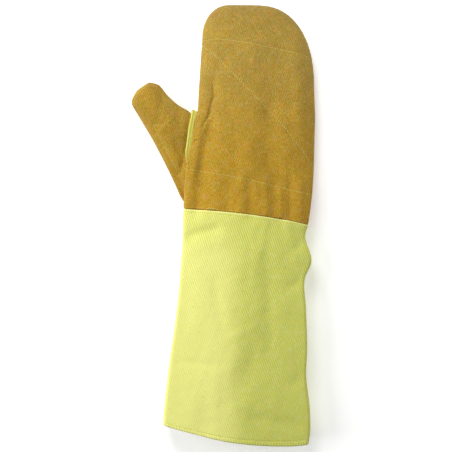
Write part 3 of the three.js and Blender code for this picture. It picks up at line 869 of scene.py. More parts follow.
def hand_relief(face, row, s, side):
    """What the outer side of a hand panel adds to its plain face."""
    full = (dome(s, FULLNESS[UPPER]) * row["nose"]) ** 2
    relief = uneven(face, HAND_WAVES, full, side)
    for line in hand_lines:
        distance = near_line(face, line)
        relief += groove(distance, **THREAD_GROOVE) + groove(distance, **HAND_PULLED_IN) * full
    at_hole = hole_height(hand_stops)[:, None] / HOLE["half_height"]
    from_rim = length(face - face[:, :1])[..., 0]
    rolled = HOLE_ROLL["height"] * np.exp(-((from_rim / HOLE_ROLL["half_width"]) ** 2))
    relief += seam_turn(face, -1) + mix(seam_turn(face, 0), rolled, at_hole)
    if side == UPPER:
        relief += fold_height(HAND_FOLDS, face[..., 0], face[..., 1]) * fold_share(s) * row["nose"]
        swing = np.sin(2 * np.pi * face[..., 1] / CREASE_BEADS["pitch"])
        beads = CREASE_BEADS["least"] + CREASE_BEADS["swing"] * swing
        relief += groove(near_line(face, crease_line), **CREASE) * beads
    relief *= smooth(hand_stops / WRIST_FADE)[:, None]
    come_out = smooth((hand_stops - SEAM_OUT_FROM) / (SEAM_OUT_TO - SEAM_OUT_FROM))
    relief += (hand_row(hand_stops)["floor_z"] * come_out)[:, None]
    return relief


pulled_in = THREAD_GROOVE["depth"] + HAND_PULLED_IN["depth"]
print("a stitch line pulls the hand's cloth in by, mm:", pulled_in)

# %% [markdown]
# ## The hand panels
# A panel is a face, its normals, and the two grids that they give: the inner one a wall's thickness below
# the face, and the outer one with its relief above it. Nothing goes below the floor. Both panels come from
# one function, because a mirrored copy of the upper one would be padded where the mitten lies flat.

# %% Hand panels
HAND_WALL = 3.0


def hand_panel(name, side):
    """The upper or lower cloth of the hand, from the tuck in the cuff to the fingertips."""
    row = {key: values[:, None] for key, values in hand_row(hand_stops).items()}
    s = -np.cos(np.pi * np.linspace(0, 1, HAND_COLUMNS + 1))[None, :]
    lift = hole_lift(hand_stops[:, None], s, dome(s, FULLNESS[side]))
    face = face_points(row, s, side, lift, SEW_GAP)
    normals = panel_normals(face, side)
    inner = face - HAND_WALL * normals
    outer = face + hand_relief(face, row, s, side)[..., None] * normals
    outer[..., 2] = np.maximum(outer[..., 2], 0)
    return wall_piece(name, outer, inner, flat_places(face), downward=side == LOWER)


hand_front = hand_panel("hand_front_cloth", UPPER)
hand_back = hand_panel("hand_back_cloth", LOWER)

# %% [markdown]
# ## The rim of the thumb hole
# Three pieces meet along the hole's rim: the hand, the gusset and the thumb. The next functions give a
# point of the rim, the gusset's width there, and how far the thumb's cloth laps into the hand below the
# gusset. They are worked out from the hand's own rows, so the edges of the three can't drift apart.

# %% Places on the rim
SLOPE_STEP = 1e-3
LAP = 2.4
LAP_FADE = 0.06
HOLE_STEPS = 12
GUSSET_START_STEP = 5
GUSSET_START = even_angles(HOLE_STEPS)[GUSSET_START_STEP]
GUSSET_WIDTHS = table(("at", "width"), [(0, 0), (0.08, 2), (0.2, 4.2), (0.4, 4.9), (0.8, 4.9), (1, 5.8)])


def hole_row(t):
    """The row at a share of the hole, from its wrist end (0) to the crotch (1)."""
    return mix(HOLE["wrist_row"], HOLE["crotch_row"], np.clip(t, 0, 1))


def hole_points(t, side, inset, into):
    """The hole's rim from the wrist end (t = 0) to the crotch (t = 1).

    inset moves the points into the hole, and into moves them into the hand.
    """

    def edge(k):
        row = hand_row(hole_row(k))
        return np.stack([row["left_x"], row["left_y"], row["side_z"] + side * hole_height(hole_row(k))], -1)

    t = np.asarray(t, float)
    along = edge(np.clip(t + SLOPE_STEP, 0, 1)) - edge(np.clip(t - SLOPE_STEP, 0, 1))
    outward = unit(np.stack([-along[..., 1], along[..., 0], np.zeros_like(t)], -1))
    normal = unit(np.cross(along, outward)) * side
    level = np.stack([outward[..., 1], -outward[..., 0], np.zeros_like(t)], -1)
    at_end = ((t <= 0) | (t >= 1))[..., None]
    normal = np.where(at_end, level * np.where(t <= 0, -1, 1)[..., None], normal)
    inset, into = np.broadcast_to(inset, t.shape)[..., None], np.broadcast_to(into, t.shape)[..., None]
    return edge(t) - normal * inset - outward * into


def gusset_width(t):
    """How much of the gusset shows at a share of the hole. It shows nowhere below its start."""
    shown = read(GUSSET_WIDTHS, "width", np.clip((t - GUSSET_START) / (1 - GUSSET_START), 0, 1))
    return np.where(t < GUSSET_START, 0, shown)


def thumb_lap(t):
    """How far the thumb's cloth laps into the hand. Beside the gusset it stops short by its width."""
    return LAP * smooth((GUSSET_START - t) / LAP_FADE) - SEW_GAP - gusset_width(t)


print("gusset starts at this share of the hole:", round(float(GUSSET_START), 3))

# %% [markdown]
# ## The thumb in plan
# A thumb panel is a patch between four curves: the hole's rim, the tip, and the two side edges. Blending
# the four curves is called a Coons patch: the two blends between facing curves are added, and the plain
# patch between the four corners is taken away once. It suits a pattern piece, of which only the edges are
# known.

# %% The thumb's patch
THUMB_OUTER_EDGE = [(-47, 32.5), (-57.9, 56.2), (-76.2, 91.9), (-92.9, 120.3), (-99.8, 133.1)]
THUMB_INNER_EDGE = [(-45.7, 129.3), (-59.6, 140.9), (-70.1, 153.1)]
THUMB_TIP_OUTER = np.array([-94.8, 146.7, 0])
THUMB_TIP_INNER = np.array([-80.8, 156.3, 0])


def thumb_plan(u, v, side):
    """The patch in plan: u runs along the hole from wrist to crotch, and v from the hole to the tip."""
    base = hole_points(u, side, SEW_GAP, thumb_lap(u)) * (1, 1, 0)
    tip = mix(THUMB_TIP_OUTER, THUMB_TIP_INNER, u[:, None])
    edges = []
    for start, middle, end in ((base[0], THUMB_OUTER_EDGE, tip[0]), (base[-1], THUMB_INNER_EDGE, tip[-1])):
        edges.append(smooth_line([start, *[(x, y, 0) for x, y in middle], end], v)[:, None])
    across, along = u[None, :, None], v[:, None, None]
    plan = mix(base, tip, along) + mix(edges[0], edges[1], across)
    return plan - mix(mix(base[0], base[-1], across), mix(tip[0], tip[-1], across), along)


thumb_length = np.linalg.norm((THUMB_TIP_OUTER + THUMB_TIP_INNER)[:2] / 2 - THUMB_OUTER_EDGE[0])
print("thumb from its root to its tip, mm:", round(float(thumb_length)))

# %% [markdown]
# ## The thumb's height
# The patch's height starts as the rim's, so the cloth leaves the hand without the step that a separate set
# of rows would leave there. Further out it becomes a dome of its own, which rounds over at the tip. The
# large folds of the upper face go on over the thumb.

# %% Height of the thumb
THUMB = {"side_z": 12, "rise": 12.5, "flat_from": 0.05, "full_from": 0.36, "nose_from": 0.72}


def thumb_face(u, v, side):
    """The patch with its height, and how much of the full height each row of it keeps towards the tip."""
    face = thumb_plan(u, v, side)
    side_z_at_hole = hand_row(hole_row(u))["side_z"]
    rim_height = np.abs(hole_points(u, side, SEW_GAP, 0)[:, 2] - side_z_at_hole)
    leaving = smooth((v - THUMB["flat_from"]) / (THUMB["full_from"] - THUMB["flat_from"]))[:, None]
    side_z = mix(side_z_at_hole, THUMB["side_z"], v[:, None])
    nose = dome(np.maximum(0, v - THUMB["nose_from"]) / (1 - THUMB["nose_from"]), NOSE_FULLNESS)[:, None]
    full = dome(2 * u - 1, FULLNESS[side])
    stand = THUMB["rise"] if side == UPPER else FLATTENED_BY_WEIGHT * side_z
    height = mix(rim_height, stand * full * nose, leaving)
    z = side_z + side * (SEW_GAP / 2 + height)
    if side == UPPER:
        z = z + fold_height(LARGE_FOLDS, face[..., 0], face[..., 1]) * full * leaving * nose
    face[..., 2] = np.maximum(0, z)
    return face, nose


halves = np.array([0, 0.5, 1])
halved_thumb, _ = thumb_face(halves, halves, UPPER)
print("height of the middle of the thumb, mm:", round(float(halved_thumb[1, 1, 2]), 1))

# %% [markdown]
# ## The thumb panels
# Near the wrist end of the hole the thumb and the hand close together, so the thumb's wall is pinched
# there. Beside the gusset the thumb's cloth rolls down to the seam, which gives the thumb its plump edge.
# The rest of the relief starts a little way from the hole, because the seam there holds the cloth still.
# One wall of even thickness would be simpler, but it would run through the hand's.

# %% Thumb panels
THUMB_COLUMNS = 64
THUMB_ROWS = 110
THUMB_ROWS_CROWDED = 0.6
THUMB_WAVES = [(22, 0.2, 14), (8, 0.07, 19)]
THUMB_PULLED_IN = {"half_width": 4, "depth": 0.25}
THUMB_ROLL = {"half_width": 4.5, "depth": 2.6}
THUMB_ROLL_FADE = 0.15
PINCH = {"length": 26, "wall": 0.8}
PUCKERS_FROM = 0.08
SEAMS_FROM = 0.12


def thumb_relief(face, nose, u, v, side):
    """What the outer side of a thumb panel adds to its plain face."""
    off_hole = smooth(v / PUCKERS_FROM)[:, None]
    shown = dome(2 * u - 1, FULLNESS[UPPER]) ** 2 * nose * off_hole
    relief = uneven(face, THUMB_WAVES, shown, side)
    relief += seam_turn(face, 0, -1) * smooth(v / SEAMS_FROM)[:, None]
    from_gusset = length(face - face[:1])[..., 0]
    relief += groove(from_gusset, **THUMB_ROLL) * smooth((u - GUSSET_START) / THUMB_ROLL_FADE)
    if side == UPPER:
        distance = near_line(face, thumb_line)
        relief += (groove(distance, **THREAD_GROOVE) + groove(distance, **THUMB_PULLED_IN)) * off_hole
        relief += fold_height(THUMB_FOLDS, face[..., 0], face[..., 1]) * shown
    return relief


def thumb_panel(name, side):
    """The upper or lower cloth of the thumb, from the hole to the tip."""
    u = even_angles(THUMB_COLUMNS)
    v = mix(np.linspace(0, 1, THUMB_ROWS + 1), even_angles(THUMB_ROWS), THUMB_ROWS_CROWDED)
    face, nose = thumb_face(u, v, side)
    normals = panel_normals(face, side)
    from_wrist_end = np.linalg.norm((face - face[0, 0])[..., :2], axis=-1)
    wall = mix(PINCH["wall"], HAND_WALL, smooth(from_wrist_end / PINCH["length"]))
    inner = face - wall[..., None] * normals
    outer = face + thumb_relief(face, nose, u, v, side)[..., None] * normals
    outer[..., 2] = np.maximum(outer[..., 2], 0)
    return wall_piece(name, outer, inner, flat_places(face), downward=side == LOWER)


thumb_front = thumb_panel("thumb_front_cloth", UPPER)
thumb_back = thumb_panel("thumb_back_cloth", LOWER)

# %% [markdown]
# ## The gusset
# The strip is folded lengthwise before it is sewn in, so it is a little crowned between its two seams. It
# stands highest in a narrow fold beside the thumb and sinks towards the hand, where the hand's thick cloth
# covers its edge. A curve with a bevel would be quicker to draw, but it would look like a round cord. The
# strip runs up the front of the hole, round the crotch and down the back, so it is built from columns of
# points on the rim, first the front ones and then the back ones. Its length is measured along a column
# close to the fold.

# %% Gusset strip
GUSSET_WALL = 1.4
GUSSET_CUT_WIDTH = 10
GUSSET_COLUMNS = 14
GUSSET_FINENESS = 10
GUSSET_CROWN = {"height": 0.5, "fullness": 2.5}
GUSSET_FOLD = {"height": 1.0, "place": 0.16, "half_width": 0.12}
GUSSET_SINK = {"depth": 0.5, "from": 0.3, "length": 0.4}
GUSSET_OVER = 0.45
MEASURED_COLUMN = 3


def gusset_crown(share):
    """How far the strip stands up, from its seam with the thumb (share 0) to the hand's (share 1)."""
    from_fold = (share - GUSSET_FOLD["place"]) / GUSSET_FOLD["half_width"]
    fold = GUSSET_FOLD["height"] * math.exp(-(from_fold**2))
    sink = GUSSET_SINK["depth"] * float(smooth((share - GUSSET_SINK["from"]) / GUSSET_SINK["length"]))
    return fold + GUSSET_CROWN["height"] * (1 - abs(2 * share - 1) ** GUSSET_CROWN["fullness"]) - sink


def gusset_strip(name):
    """The strip's mesh, and its length measured along it."""
    up = even_angles(GUSSET_FINENESS * HOLE_STEPS)[GUSSET_FINENESS * GUSSET_START_STEP :]
    down_back = up[-2::-1]
    outer, inner = [], []
    for share in np.linspace(0, 1, GUSSET_COLUMNS + 1):
        crown = gusset_crown(share)
        for grid, inset, over in ((outer, SEW_GAP - crown, GUSSET_OVER), (inner, SEW_GAP + GUSSET_WALL, 0)):
            column = []
            for side, stops in ((UPPER, up), (LOWER, down_back)):
                column.append(hole_points(stops, side, inset, mix(-gusset_width(stops) - over, LAP, share)))
            grid.append(np.concatenate(column))
    outer, inner = (np.array(grid).swapaxes(0, 1) for grid in (outer, inner))
    measured = outer[:, MEASURED_COLUMN]
    gone = np.cumsum(np.linalg.norm(np.diff(measured, axis=0, prepend=measured[:1]), axis=1))
    width = np.linspace(0, GUSSET_CUT_WIDTH, GUSSET_COLUMNS + 1)
    places = np.stack(np.broadcast_arrays(width[None, :], gone[:, None]), -1)
    return wall_piece(name, outer, inner, places), float(gone[-1])


gusset, gusset_length = gusset_strip("crotch_gusset_cloth")

# %% [markdown]
# ## The cuff's rows
# The cuff's shape is simple, but its two folded edges are what the eye looks at. So its rows are placed by
# distance from the top: close together on the outer few millimetres at both ends, and wider between. Even
# rows under a Subdivision Surface modifier would round both edges off too softly. The first and last row
# stop short by the bulge of the rounded rim, which adds the rest.

# %% Rows by distance
CUFF_WALL = 1.6
HEM_WALL = 3.2
HEM_WIDTH = 5.5
TOP_FOLD = 3.0
RIM_BULGE = 0.9
FINE_AT_TOP = 6
FINE_AT_HEM = 9
HEM_ROW = 9
STOPS = {"top": 15, "middle": 136, "hem": 19, "measuring": 400}

dense_rows = np.linspace(0, HEM_ROW, STOPS["measuring"])
dense_down = CUFF_ROWS["right_y"][0] - read(CUFF_ROWS, "right_y", dense_rows)
cuff_length = dense_down[-1]
down = np.concatenate(
    [
        np.linspace(RIM_BULGE * CUFF_WALL / 2, FINE_AT_TOP, STOPS["top"])[:-1],
        np.linspace(FINE_AT_TOP, cuff_length - FINE_AT_HEM, STOPS["middle"])[:-1],
        np.linspace(cuff_length - FINE_AT_HEM, cuff_length - RIM_BULGE * HEM_WALL / 2, STOPS["hem"]),
    ]
)[::-1]
cuff_stops = np.interp(down, dense_down, dense_rows)
print("cuff rows:", len(down), "length along the right edge, mm:", round(float(cuff_length), 1))

# %% [markdown]
# ## Relief of the cuff
# The cuff's top edge is folded and stitched to the hand, and its hem is folded inward and stitched. Both
# folds show fine ribs, because twill that is bent sharply opens up between its ribs, and a row of stitches
# presses the cloth down beside them. On the lower face the cut edges inside the seam lift the cloth a
# little. The finish could draw the ribs alone, but at an edge the eye sees the outline first.

# %% Relief of the cuff
UPPER_COLUMNS = 132
CUFF_WAVES = [(42, 0.28, 31), (13, 0.07, 32)]
TOP_STITCHING = {"half_width": 0.6, "depth": 0.35}
HEM_STITCHING = {"half_width": 0.7, "depth": 0.5}
EDGE_RIBS = {"pitch": 2.3, "height": 0.12, "fade": 1.5}
HEM_RIBS = {"pitch": 2.9, "height": 0.2, "fade": 2}
CUFF_SEAM = {"half_width": 0.9, "depth": 0.9}
SEAM_EDGES = {"height": 0.5, "place": 5, "half_width": 2.6}


def fold_ribs(ribs, along, into_fold):
    """Ribs that cross a folded edge. into_fold is the distance past the row of stitches."""
    return ribs["height"] * np.sin(2 * np.pi * along / ribs["pitch"]) * smooth(into_fold / ribs["fade"])


def cuff_relief(face, along, s, is_upper):
    """What the cuff's outer side adds to its plain face. along is the distance round it on the flat cloth."""
    from_top, from_hem = down[:, None], (cuff_length - down)[:, None]
    relief = uneven(face, CUFF_WAVES, dome(s, FULLNESS[UPPER])[None] ** 2)
    relief += np.where(is_upper, fold_height(CUFF_FOLDS, face[..., 0], face[..., 1]) * fold_share(s), 0)
    relief += groove(from_top - TOP_FOLD, **TOP_STITCHING) + groove(from_hem - HEM_WIDTH, **HEM_STITCHING)
    relief += fold_ribs(EDGE_RIBS, along, TOP_FOLD - from_top)
    relief += fold_ribs(HEM_RIBS, along, HEM_WIDTH - from_hem)
    from_seam = length(face - face[:, UPPER_COLUMNS : UPPER_COLUMNS + 1])[..., 0]
    relief += groove(from_seam, **CUFF_SEAM)
    from_edges = (from_seam - SEAM_EDGES["place"]) / SEAM_EDGES["half_width"]
    relief += np.where(is_upper, 0, SEAM_EDGES["height"] * np.exp(-(from_edges**2)))
    return relief


print("ribs on the hem, mm apart:", HEM_RIBS["pitch"])

# %% [markdown]
# ## The cuff
# The cuff is one cloth round both faces, closed by a seam down its right edge. Its hem is turned inward, so
# the wall is double there. Two panels, as for the hand, would need a second seam at the left, which the
# real cuff doesn't have. A tube of rows makes it in one mesh, which leaves no gap at the seam.

# %% Cuff
LOWER_COLUMNS = 92
HEM_FADE = 1.5


def cuff_tube(name):
    """The cuff's mesh, and the places of its grid on the flat cloth."""
    turn = [np.arange(UPPER_COLUMNS) / UPPER_COLUMNS, 1 + np.arange(LOWER_COLUMNS) / LOWER_COLUMNS]
    turn = np.concatenate(turn) / 2
    s = -np.cos(2 * np.pi * turn)
    is_upper = (turn <= 0.5)[None, :]
    row = {key: values[:, None] for key, values in cuff_row(cuff_stops).items()}
    upper, lower = (face_points(row, s[None], side, 0, 0) for side in (UPPER, LOWER))
    face = np.where(is_upper[..., None], upper, lower)
    normals = normals_round(face)
    wall = mix(HEM_WALL, CUFF_WALL, smooth((cuff_length - down - HEM_WIDTH) / HEM_FADE))[:, None]
    inner = face - wall[..., None] * normals
    places = flat_places(np.concatenate([face, face[:, :1]], axis=1))
    outer = face + cuff_relief(face, places[:, :-1, 0], s, is_upper)[..., None] * normals
    outer[..., 2] = np.maximum(outer[..., 2], 0)
    return wall_piece(name, outer, inner, places, wraps=True, bulge=RIM_BULGE), places


cuff, cuff_places = cuff_tube("cuff_cloth")

# %% [markdown]
# ## Marks for the finish, and the cut
# On the cuff the folded top edge is paler, and the hem's ribs get stripes of painted light and shade. The
# finish can't know where those edges are, so the mesh tells it: each point keeps two values from 0 to 1,
# one for the folded edge and one for the band of the hem. A separate material for each would leave a hard
# line between them. The cloth's flat size is measured here too, from the same rows.

# %% Marks and measures of the cuff
PALE_EDGE_WIDTH = 1.6


def mark_rows(piece, name, near, top_rim, hem_rim):
    """Keeps one value for each row of the wall: outside, round the top rim, inside, round the hem."""
    rows = np.concatenate([near, np.full(RIM_ROWS, top_rim), near[::-1], np.full(RIM_ROWS, hem_rim)])
    layer = piece.data.attributes.new(name, "FLOAT", "POINT")
    layer.data.foreach_set("value", np.repeat(rows, UPPER_COLUMNS + LOWER_COLUMNS).astype(np.float32))


mark_rows(cuff, "folded_edge", np.exp(-((down / PALE_EDGE_WIDTH) ** 2)), 1.0, 0.0)
mark_rows(cuff, "hem_band", smooth((down - cuff_length + HEM_WIDTH) / HEM_FADE), 0.0, 1.0)

cuff_widths = np.ptp(cuff_places[..., 0], axis=1)
cut_length = cuff_length + HEM_WIDTH + TOP_FOLD
CUFF_CUT_AREA = float(cuff_widths.mean() * cut_length) / 1e6

# %% [markdown]
# ## Laying thread on the cloth
# The thread has to follow every pucker of the finished cloth. So each line of stitches is dropped onto the
# meshes by rays, straight down on the upper faces and straight up on the lower ones. A shrinkwrap modifier
# could do it as well, but a ray also gives the cloth's normal, which says which way a stitch stands up.

# %% Rays onto the cloth
RAY_START = 100


def cloth_tree(*pieces):
    """The pieces' faces, sorted so that a ray finds the one that it meets quickly."""
    points, faces = [], []
    for piece in pieces:
        start = len(points)
        points.extend(vertex.co.copy() for vertex in piece.data.vertices)
        faces.extend([start + index for index in face.vertices] for face in piece.data.polygons)
    return BVHTree.FromPolygons(points, faces)


def lay_on(tree, line, side):
    """Points and normals, in table millimetres, where a line in plan meets the cloth from above or below."""
    places, normals = [], []
    for x, y in line:
        start = (np.array([x, y, RAY_START * side]) + TO_FRAME) / 1000
        place, normal, _, _ = tree.ray_cast(Vector(start), Vector((0, 0, -side)))
        if place is not None:
            places.append(np.array(place) * 1000 - TO_FRAME)
            normals.append(np.array(normal))
    return np.array(places), np.array(normals)


upper_tree = cloth_tree(hand_front, thumb_front)
lower_tree = cloth_tree(hand_back, thumb_back)
cuff_tree = cloth_tree(cuff)
wrist_places, _ = lay_on(upper_tree, hand_lines[-1], UPPER)
print("height of the cloth under the wrist's stitches, mm:", np.round(wrist_places[:, 2].max(), 1))

# %% [markdown]
# ## Strands of thread
# All the thread is made of strands: tubes of six sides along a line, closed at both ends. They are real
# geometry because a painted line would stay flat in a close view. All the strands of one piece join into
# one mesh, because hundreds of single objects would be slow to keep.

# %% Strands of thread
THREAD_RADIUS = 0.34
THREAD_SIDES = 6
OPEN_END = 1.02


def strand_radii(share, fullness):
    """Radii from one end of a strand (share -1) to the other (share 1), a little more than 0 at both."""
    return THREAD_RADIUS * np.sqrt(OPEN_END - np.abs(share) ** fullness)


def thread_mesh(name, strands):
    """One mesh of closed strands. A strand is its rings' centres, radii and the cloth's normals there."""
    points, faces = [], []
    for centres, radii, normals in strands:
        along = unit(np.gradient(centres, axis=0))
        aside = unit(np.cross(along, normals))
        above = np.cross(aside, along)
        first, rings = len(points), len(centres)
        for k in range(rings):
            for a in range(THREAD_SIDES):
                turn = 2 * math.pi * a / THREAD_SIDES
                points.append(centres[k] + radii[k] * (math.cos(turn) * aside[k] + math.sin(turn) * above[k]))
        for k in range(rings - 1):
            low, high = first + k * THREAD_SIDES, first + (k + 1) * THREAD_SIDES
            for a in range(THREAD_SIDES):
                b = (a + 1) % THREAD_SIDES
                faces.append((low + a, high + a, high + b, low + b))
        faces.append(tuple(first + a for a in range(THREAD_SIDES)))
        faces.append(tuple(first + (rings - 1) * THREAD_SIDES + a for a in reversed(range(THREAD_SIDES))))
    print(name, "strands:", len(strands))
    return new_piece(name, np.array(points), faces)


print("thread, mm thick:", 2 * THREAD_RADIUS)

# %% [markdown]
# ## Stitches
# A stitch comes up out of the cloth and goes down again. It is a short strand of six rings, whose radius
# closes at both ends and whose middle rises from the cloth as a half wave. An Array modifier along a curve
# would repeat one stitch too, but each of these bends with its own bit of cloth. Where a line runs under
# the mitten, it is kept high enough for the stitches to clear the floor.

# %% Stitches
STITCH_LENGTH = 2.9
STITCH_GAP = 0.15
STITCH_RINGS = 6
STITCH_RISE = 0.9
STITCH_BED = 0.3
STITCH_FULLNESS = 3
OFF_FLOOR = 1.6


def stitch_strands(places, normals):
    """A row of stitches along a line on the cloth, each as one strand."""
    gone = np.concatenate([[0], np.cumsum(np.linalg.norm(np.diff(places, axis=0), axis=1))])
    pitch = STITCH_LENGTH + STITCH_GAP
    share = np.linspace(0, 1, STITCH_RINGS)
    lift = THREAD_RADIUS * (STITCH_RISE * np.sin(np.pi * share) - STITCH_BED)
    radii = strand_radii(2 * share - 1, STITCH_FULLNESS)
    strands = []
    for number in range(int(gone[-1] / pitch)):
        stops = (number + 0.5) * pitch + (share - 0.5) * STITCH_LENGTH
        centres = np.stack([np.interp(stops, gone, places[:, k]) for k in range(3)], -1)
        centres[:, 2] = np.maximum(centres[:, 2], OFF_FLOOR * THREAD_RADIUS)
        above = unit(np.stack([np.interp(stops, gone, normals[:, k]) for k in range(3)], -1))
        strands.append((centres + lift[:, None] * above, radii, above))
    return strands


print("from one stitch to the next, mm:", STITCH_LENGTH + STITCH_GAP)

# %% [markdown]
# ## All the lines of stitching
# Both hand panels are quilted through, so the same three lines are laid on the front and on the back. The
# thumb's line is on the front. The cuff has one row below its folded top edge and one above its hem, each
# round both faces, and both stop just short of the side edges, where the cloth turns over.

# %% Stitching on the hand, the thumb and the cuff
CUFF_LINE_ENDS = 0.985
LAID_POINTS = {"hand": 400, "thumb": 200, "cuff": 500}


def cuff_line(below_top):
    """A line across the cuff in plan, at a distance below its top edge."""
    row = cuff_row(np.interp(below_top, dense_down, dense_rows))
    return np.stack(row_plan(row, np.linspace(-CUFF_LINE_ENDS, CUFF_LINE_ENDS, LAID_POINTS["cuff"])), -1)


hand_front_stitches, hand_back_stitches, cuff_stitches = [], [], []
for line in hand_lines:
    fine_line = smooth_line(line, LAID_POINTS["hand"])
    hand_front_stitches += stitch_strands(*lay_on(upper_tree, fine_line, UPPER))
    hand_back_stitches += stitch_strands(*lay_on(lower_tree, fine_line, LOWER))
for below_top in (TOP_FOLD, cuff_length - HEM_WIDTH):
    for side in (UPPER, LOWER):
        cuff_stitches += stitch_strands(*lay_on(cuff_tree, cuff_line(below_top), side))
fine_line = smooth_line(thumb_line, LAID_POINTS["thumb"])
thumb_stitches = stitch_strands(*lay_on(upper_tree, fine_line, UPPER))
hand_front_thread = thread_mesh("hand_front_stitching", hand_front_stitches)
hand_back_thread = thread_mesh("hand_back_stitching", hand_back_stitches)
thumb_thread = thread_mesh("thumb_stitching", thumb_stitches)
cuff_thread = thread_mesh("cuff_stitching", cuff_stitches)

# %% [markdown]
# ## Loose ends
# A used mitten has a few ends of thread that have worked loose: one on the hand beside the gusset, a curl
# below the gusset, and one lapped over the cuff's edge. Each is a strand bent through a few places, given
# as x, y and the height above the cloth, and a ray again finds the cloth under it. Its radius stays even
# until close to the cut ends. A bevelled curve would look the same, but the function for strands is there
# already.

# %% Loose thread ends
LOOSE_ENDS = [
    [(-32, 90.5, 0.2), (-30.8, 92.2, 1.1), (-29, 93, 0.9), (-26.6, 93.4, 0.2)],
    [(-39.4, 69.4, 0.2), (-37.9, 68.4, 1), (-37.6, 66.6, 0.9), (-39, 65.9, 0.2)],
    [(-18.2, 17.8, 0.3), (-13, 18.1, 0.5), (-8.4, 17.4, 0.5), (-4, 16, 0.4)],
]
LOOSE_END_RINGS = 24
LOOSE_END_FULLNESS = 8


def loose_strand(tree, bends):
    """One loose end, bent through a few places above the cloth."""
    path = smooth_line(bends, LOOSE_END_RINGS)
    places, normals = lay_on(tree, path[:, :2], UPPER)
    radii = strand_radii(np.linspace(-1, 1, len(path)), LOOSE_END_FULLNESS)
    return places + path[:, 2:] * normals, radii, normals


dressed_tree = cloth_tree(hand_front, thumb_front, gusset, cuff)
loose_thread = thread_mesh("loose_thread_ends", [loose_strand(dressed_tree, bends) for bends in LOOSE_ENDS])

# %% [markdown]
# ## Colours and shader maths
# A finish is a graph of nodes, but it reads best as a sum. The small class below wraps one output socket,
# and Python's operators on it add the Math nodes, or Vector Math nodes where the socket is a vector. The
# reflected forms let a plain number stand first, as in 1 - mask. Colours are given as a picture shows them,
# and a short function turns them into the linear light that shaders reckon in, with the numbers of the sRGB
# standard.

# %% Colours and wires
def colour(red, green, blue):
    """A colour as a picture shows it, 0 to 255, turned into linear light."""
    shown = np.array([red, green, blue]) / 255
    linear = np.where(shown <= 0.04045, shown / 12.92, ((shown + 0.055) / 1.055) ** 2.4)
    return (*linear.tolist(), 1.0)


class Wire:
    """One output socket, which Python's operators turn into a sum of nodes."""

    def __init__(self, finish, socket):
        self.finish = finish
        self.socket = socket

    def calculate(self, operation, *values):
        """A maths node of the wire's own kind. A plain number goes to all three parts of a vector."""
        settings = {"operation": operation}
        if self.socket.type != "VECTOR":
            return self.finish.node("ShaderNodeMath", settings, dict(enumerate(values)))
        values = [(value,) * 3 if isinstance(value, (int, float)) else value for value in values]
        return self.finish.node("ShaderNodeVectorMath", settings, dict(enumerate(values)))

    def __add__(self, other):
        return self.calculate("ADD", self, other)

    __radd__ = __add__

    def __sub__(self, other):
        return self.calculate("SUBTRACT", self, other)

    def __rsub__(self, other):
        return self.calculate("SUBTRACT", other, self)

    def __mul__(self, other):
        return self.calculate("MULTIPLY", self, other)

    __rmul__ = __mul__

    def sine(self):
        return self.calculate("SINE", self)

    def between(self, low, high):
        """0 at low, 1 at high and a smooth step from one to the other. low may be the larger one."""
        inputs = {"Value": self, "From Min": low, "From Max": high}
        return self.finish.node("ShaderNodeMapRange", {"interpolation_type": "SMOOTHSTEP"}, inputs)


print("middle grey of a picture, as linear light:", round(colour(128, 128, 128)[0], 3))

# %% [markdown]
# ## A finish
# Every node comes from one method, which sets the node's settings first, because they decide which sockets
# it has, and then its sockets. The other methods give names to what the finishes of this mitten need: the
# place on the cloth, clouds of random values, a blend of two colours, and the shader at the end. Only the
# colour and the relief change over the cloth. Everything else about a cloth is the same all over, so it is
# a plain number.

# %% Finishes
COLOUR_A, COLOUR_B, COLOUR_RESULT = 6, 7, 2
ATTRIBUTE_VALUE = 2


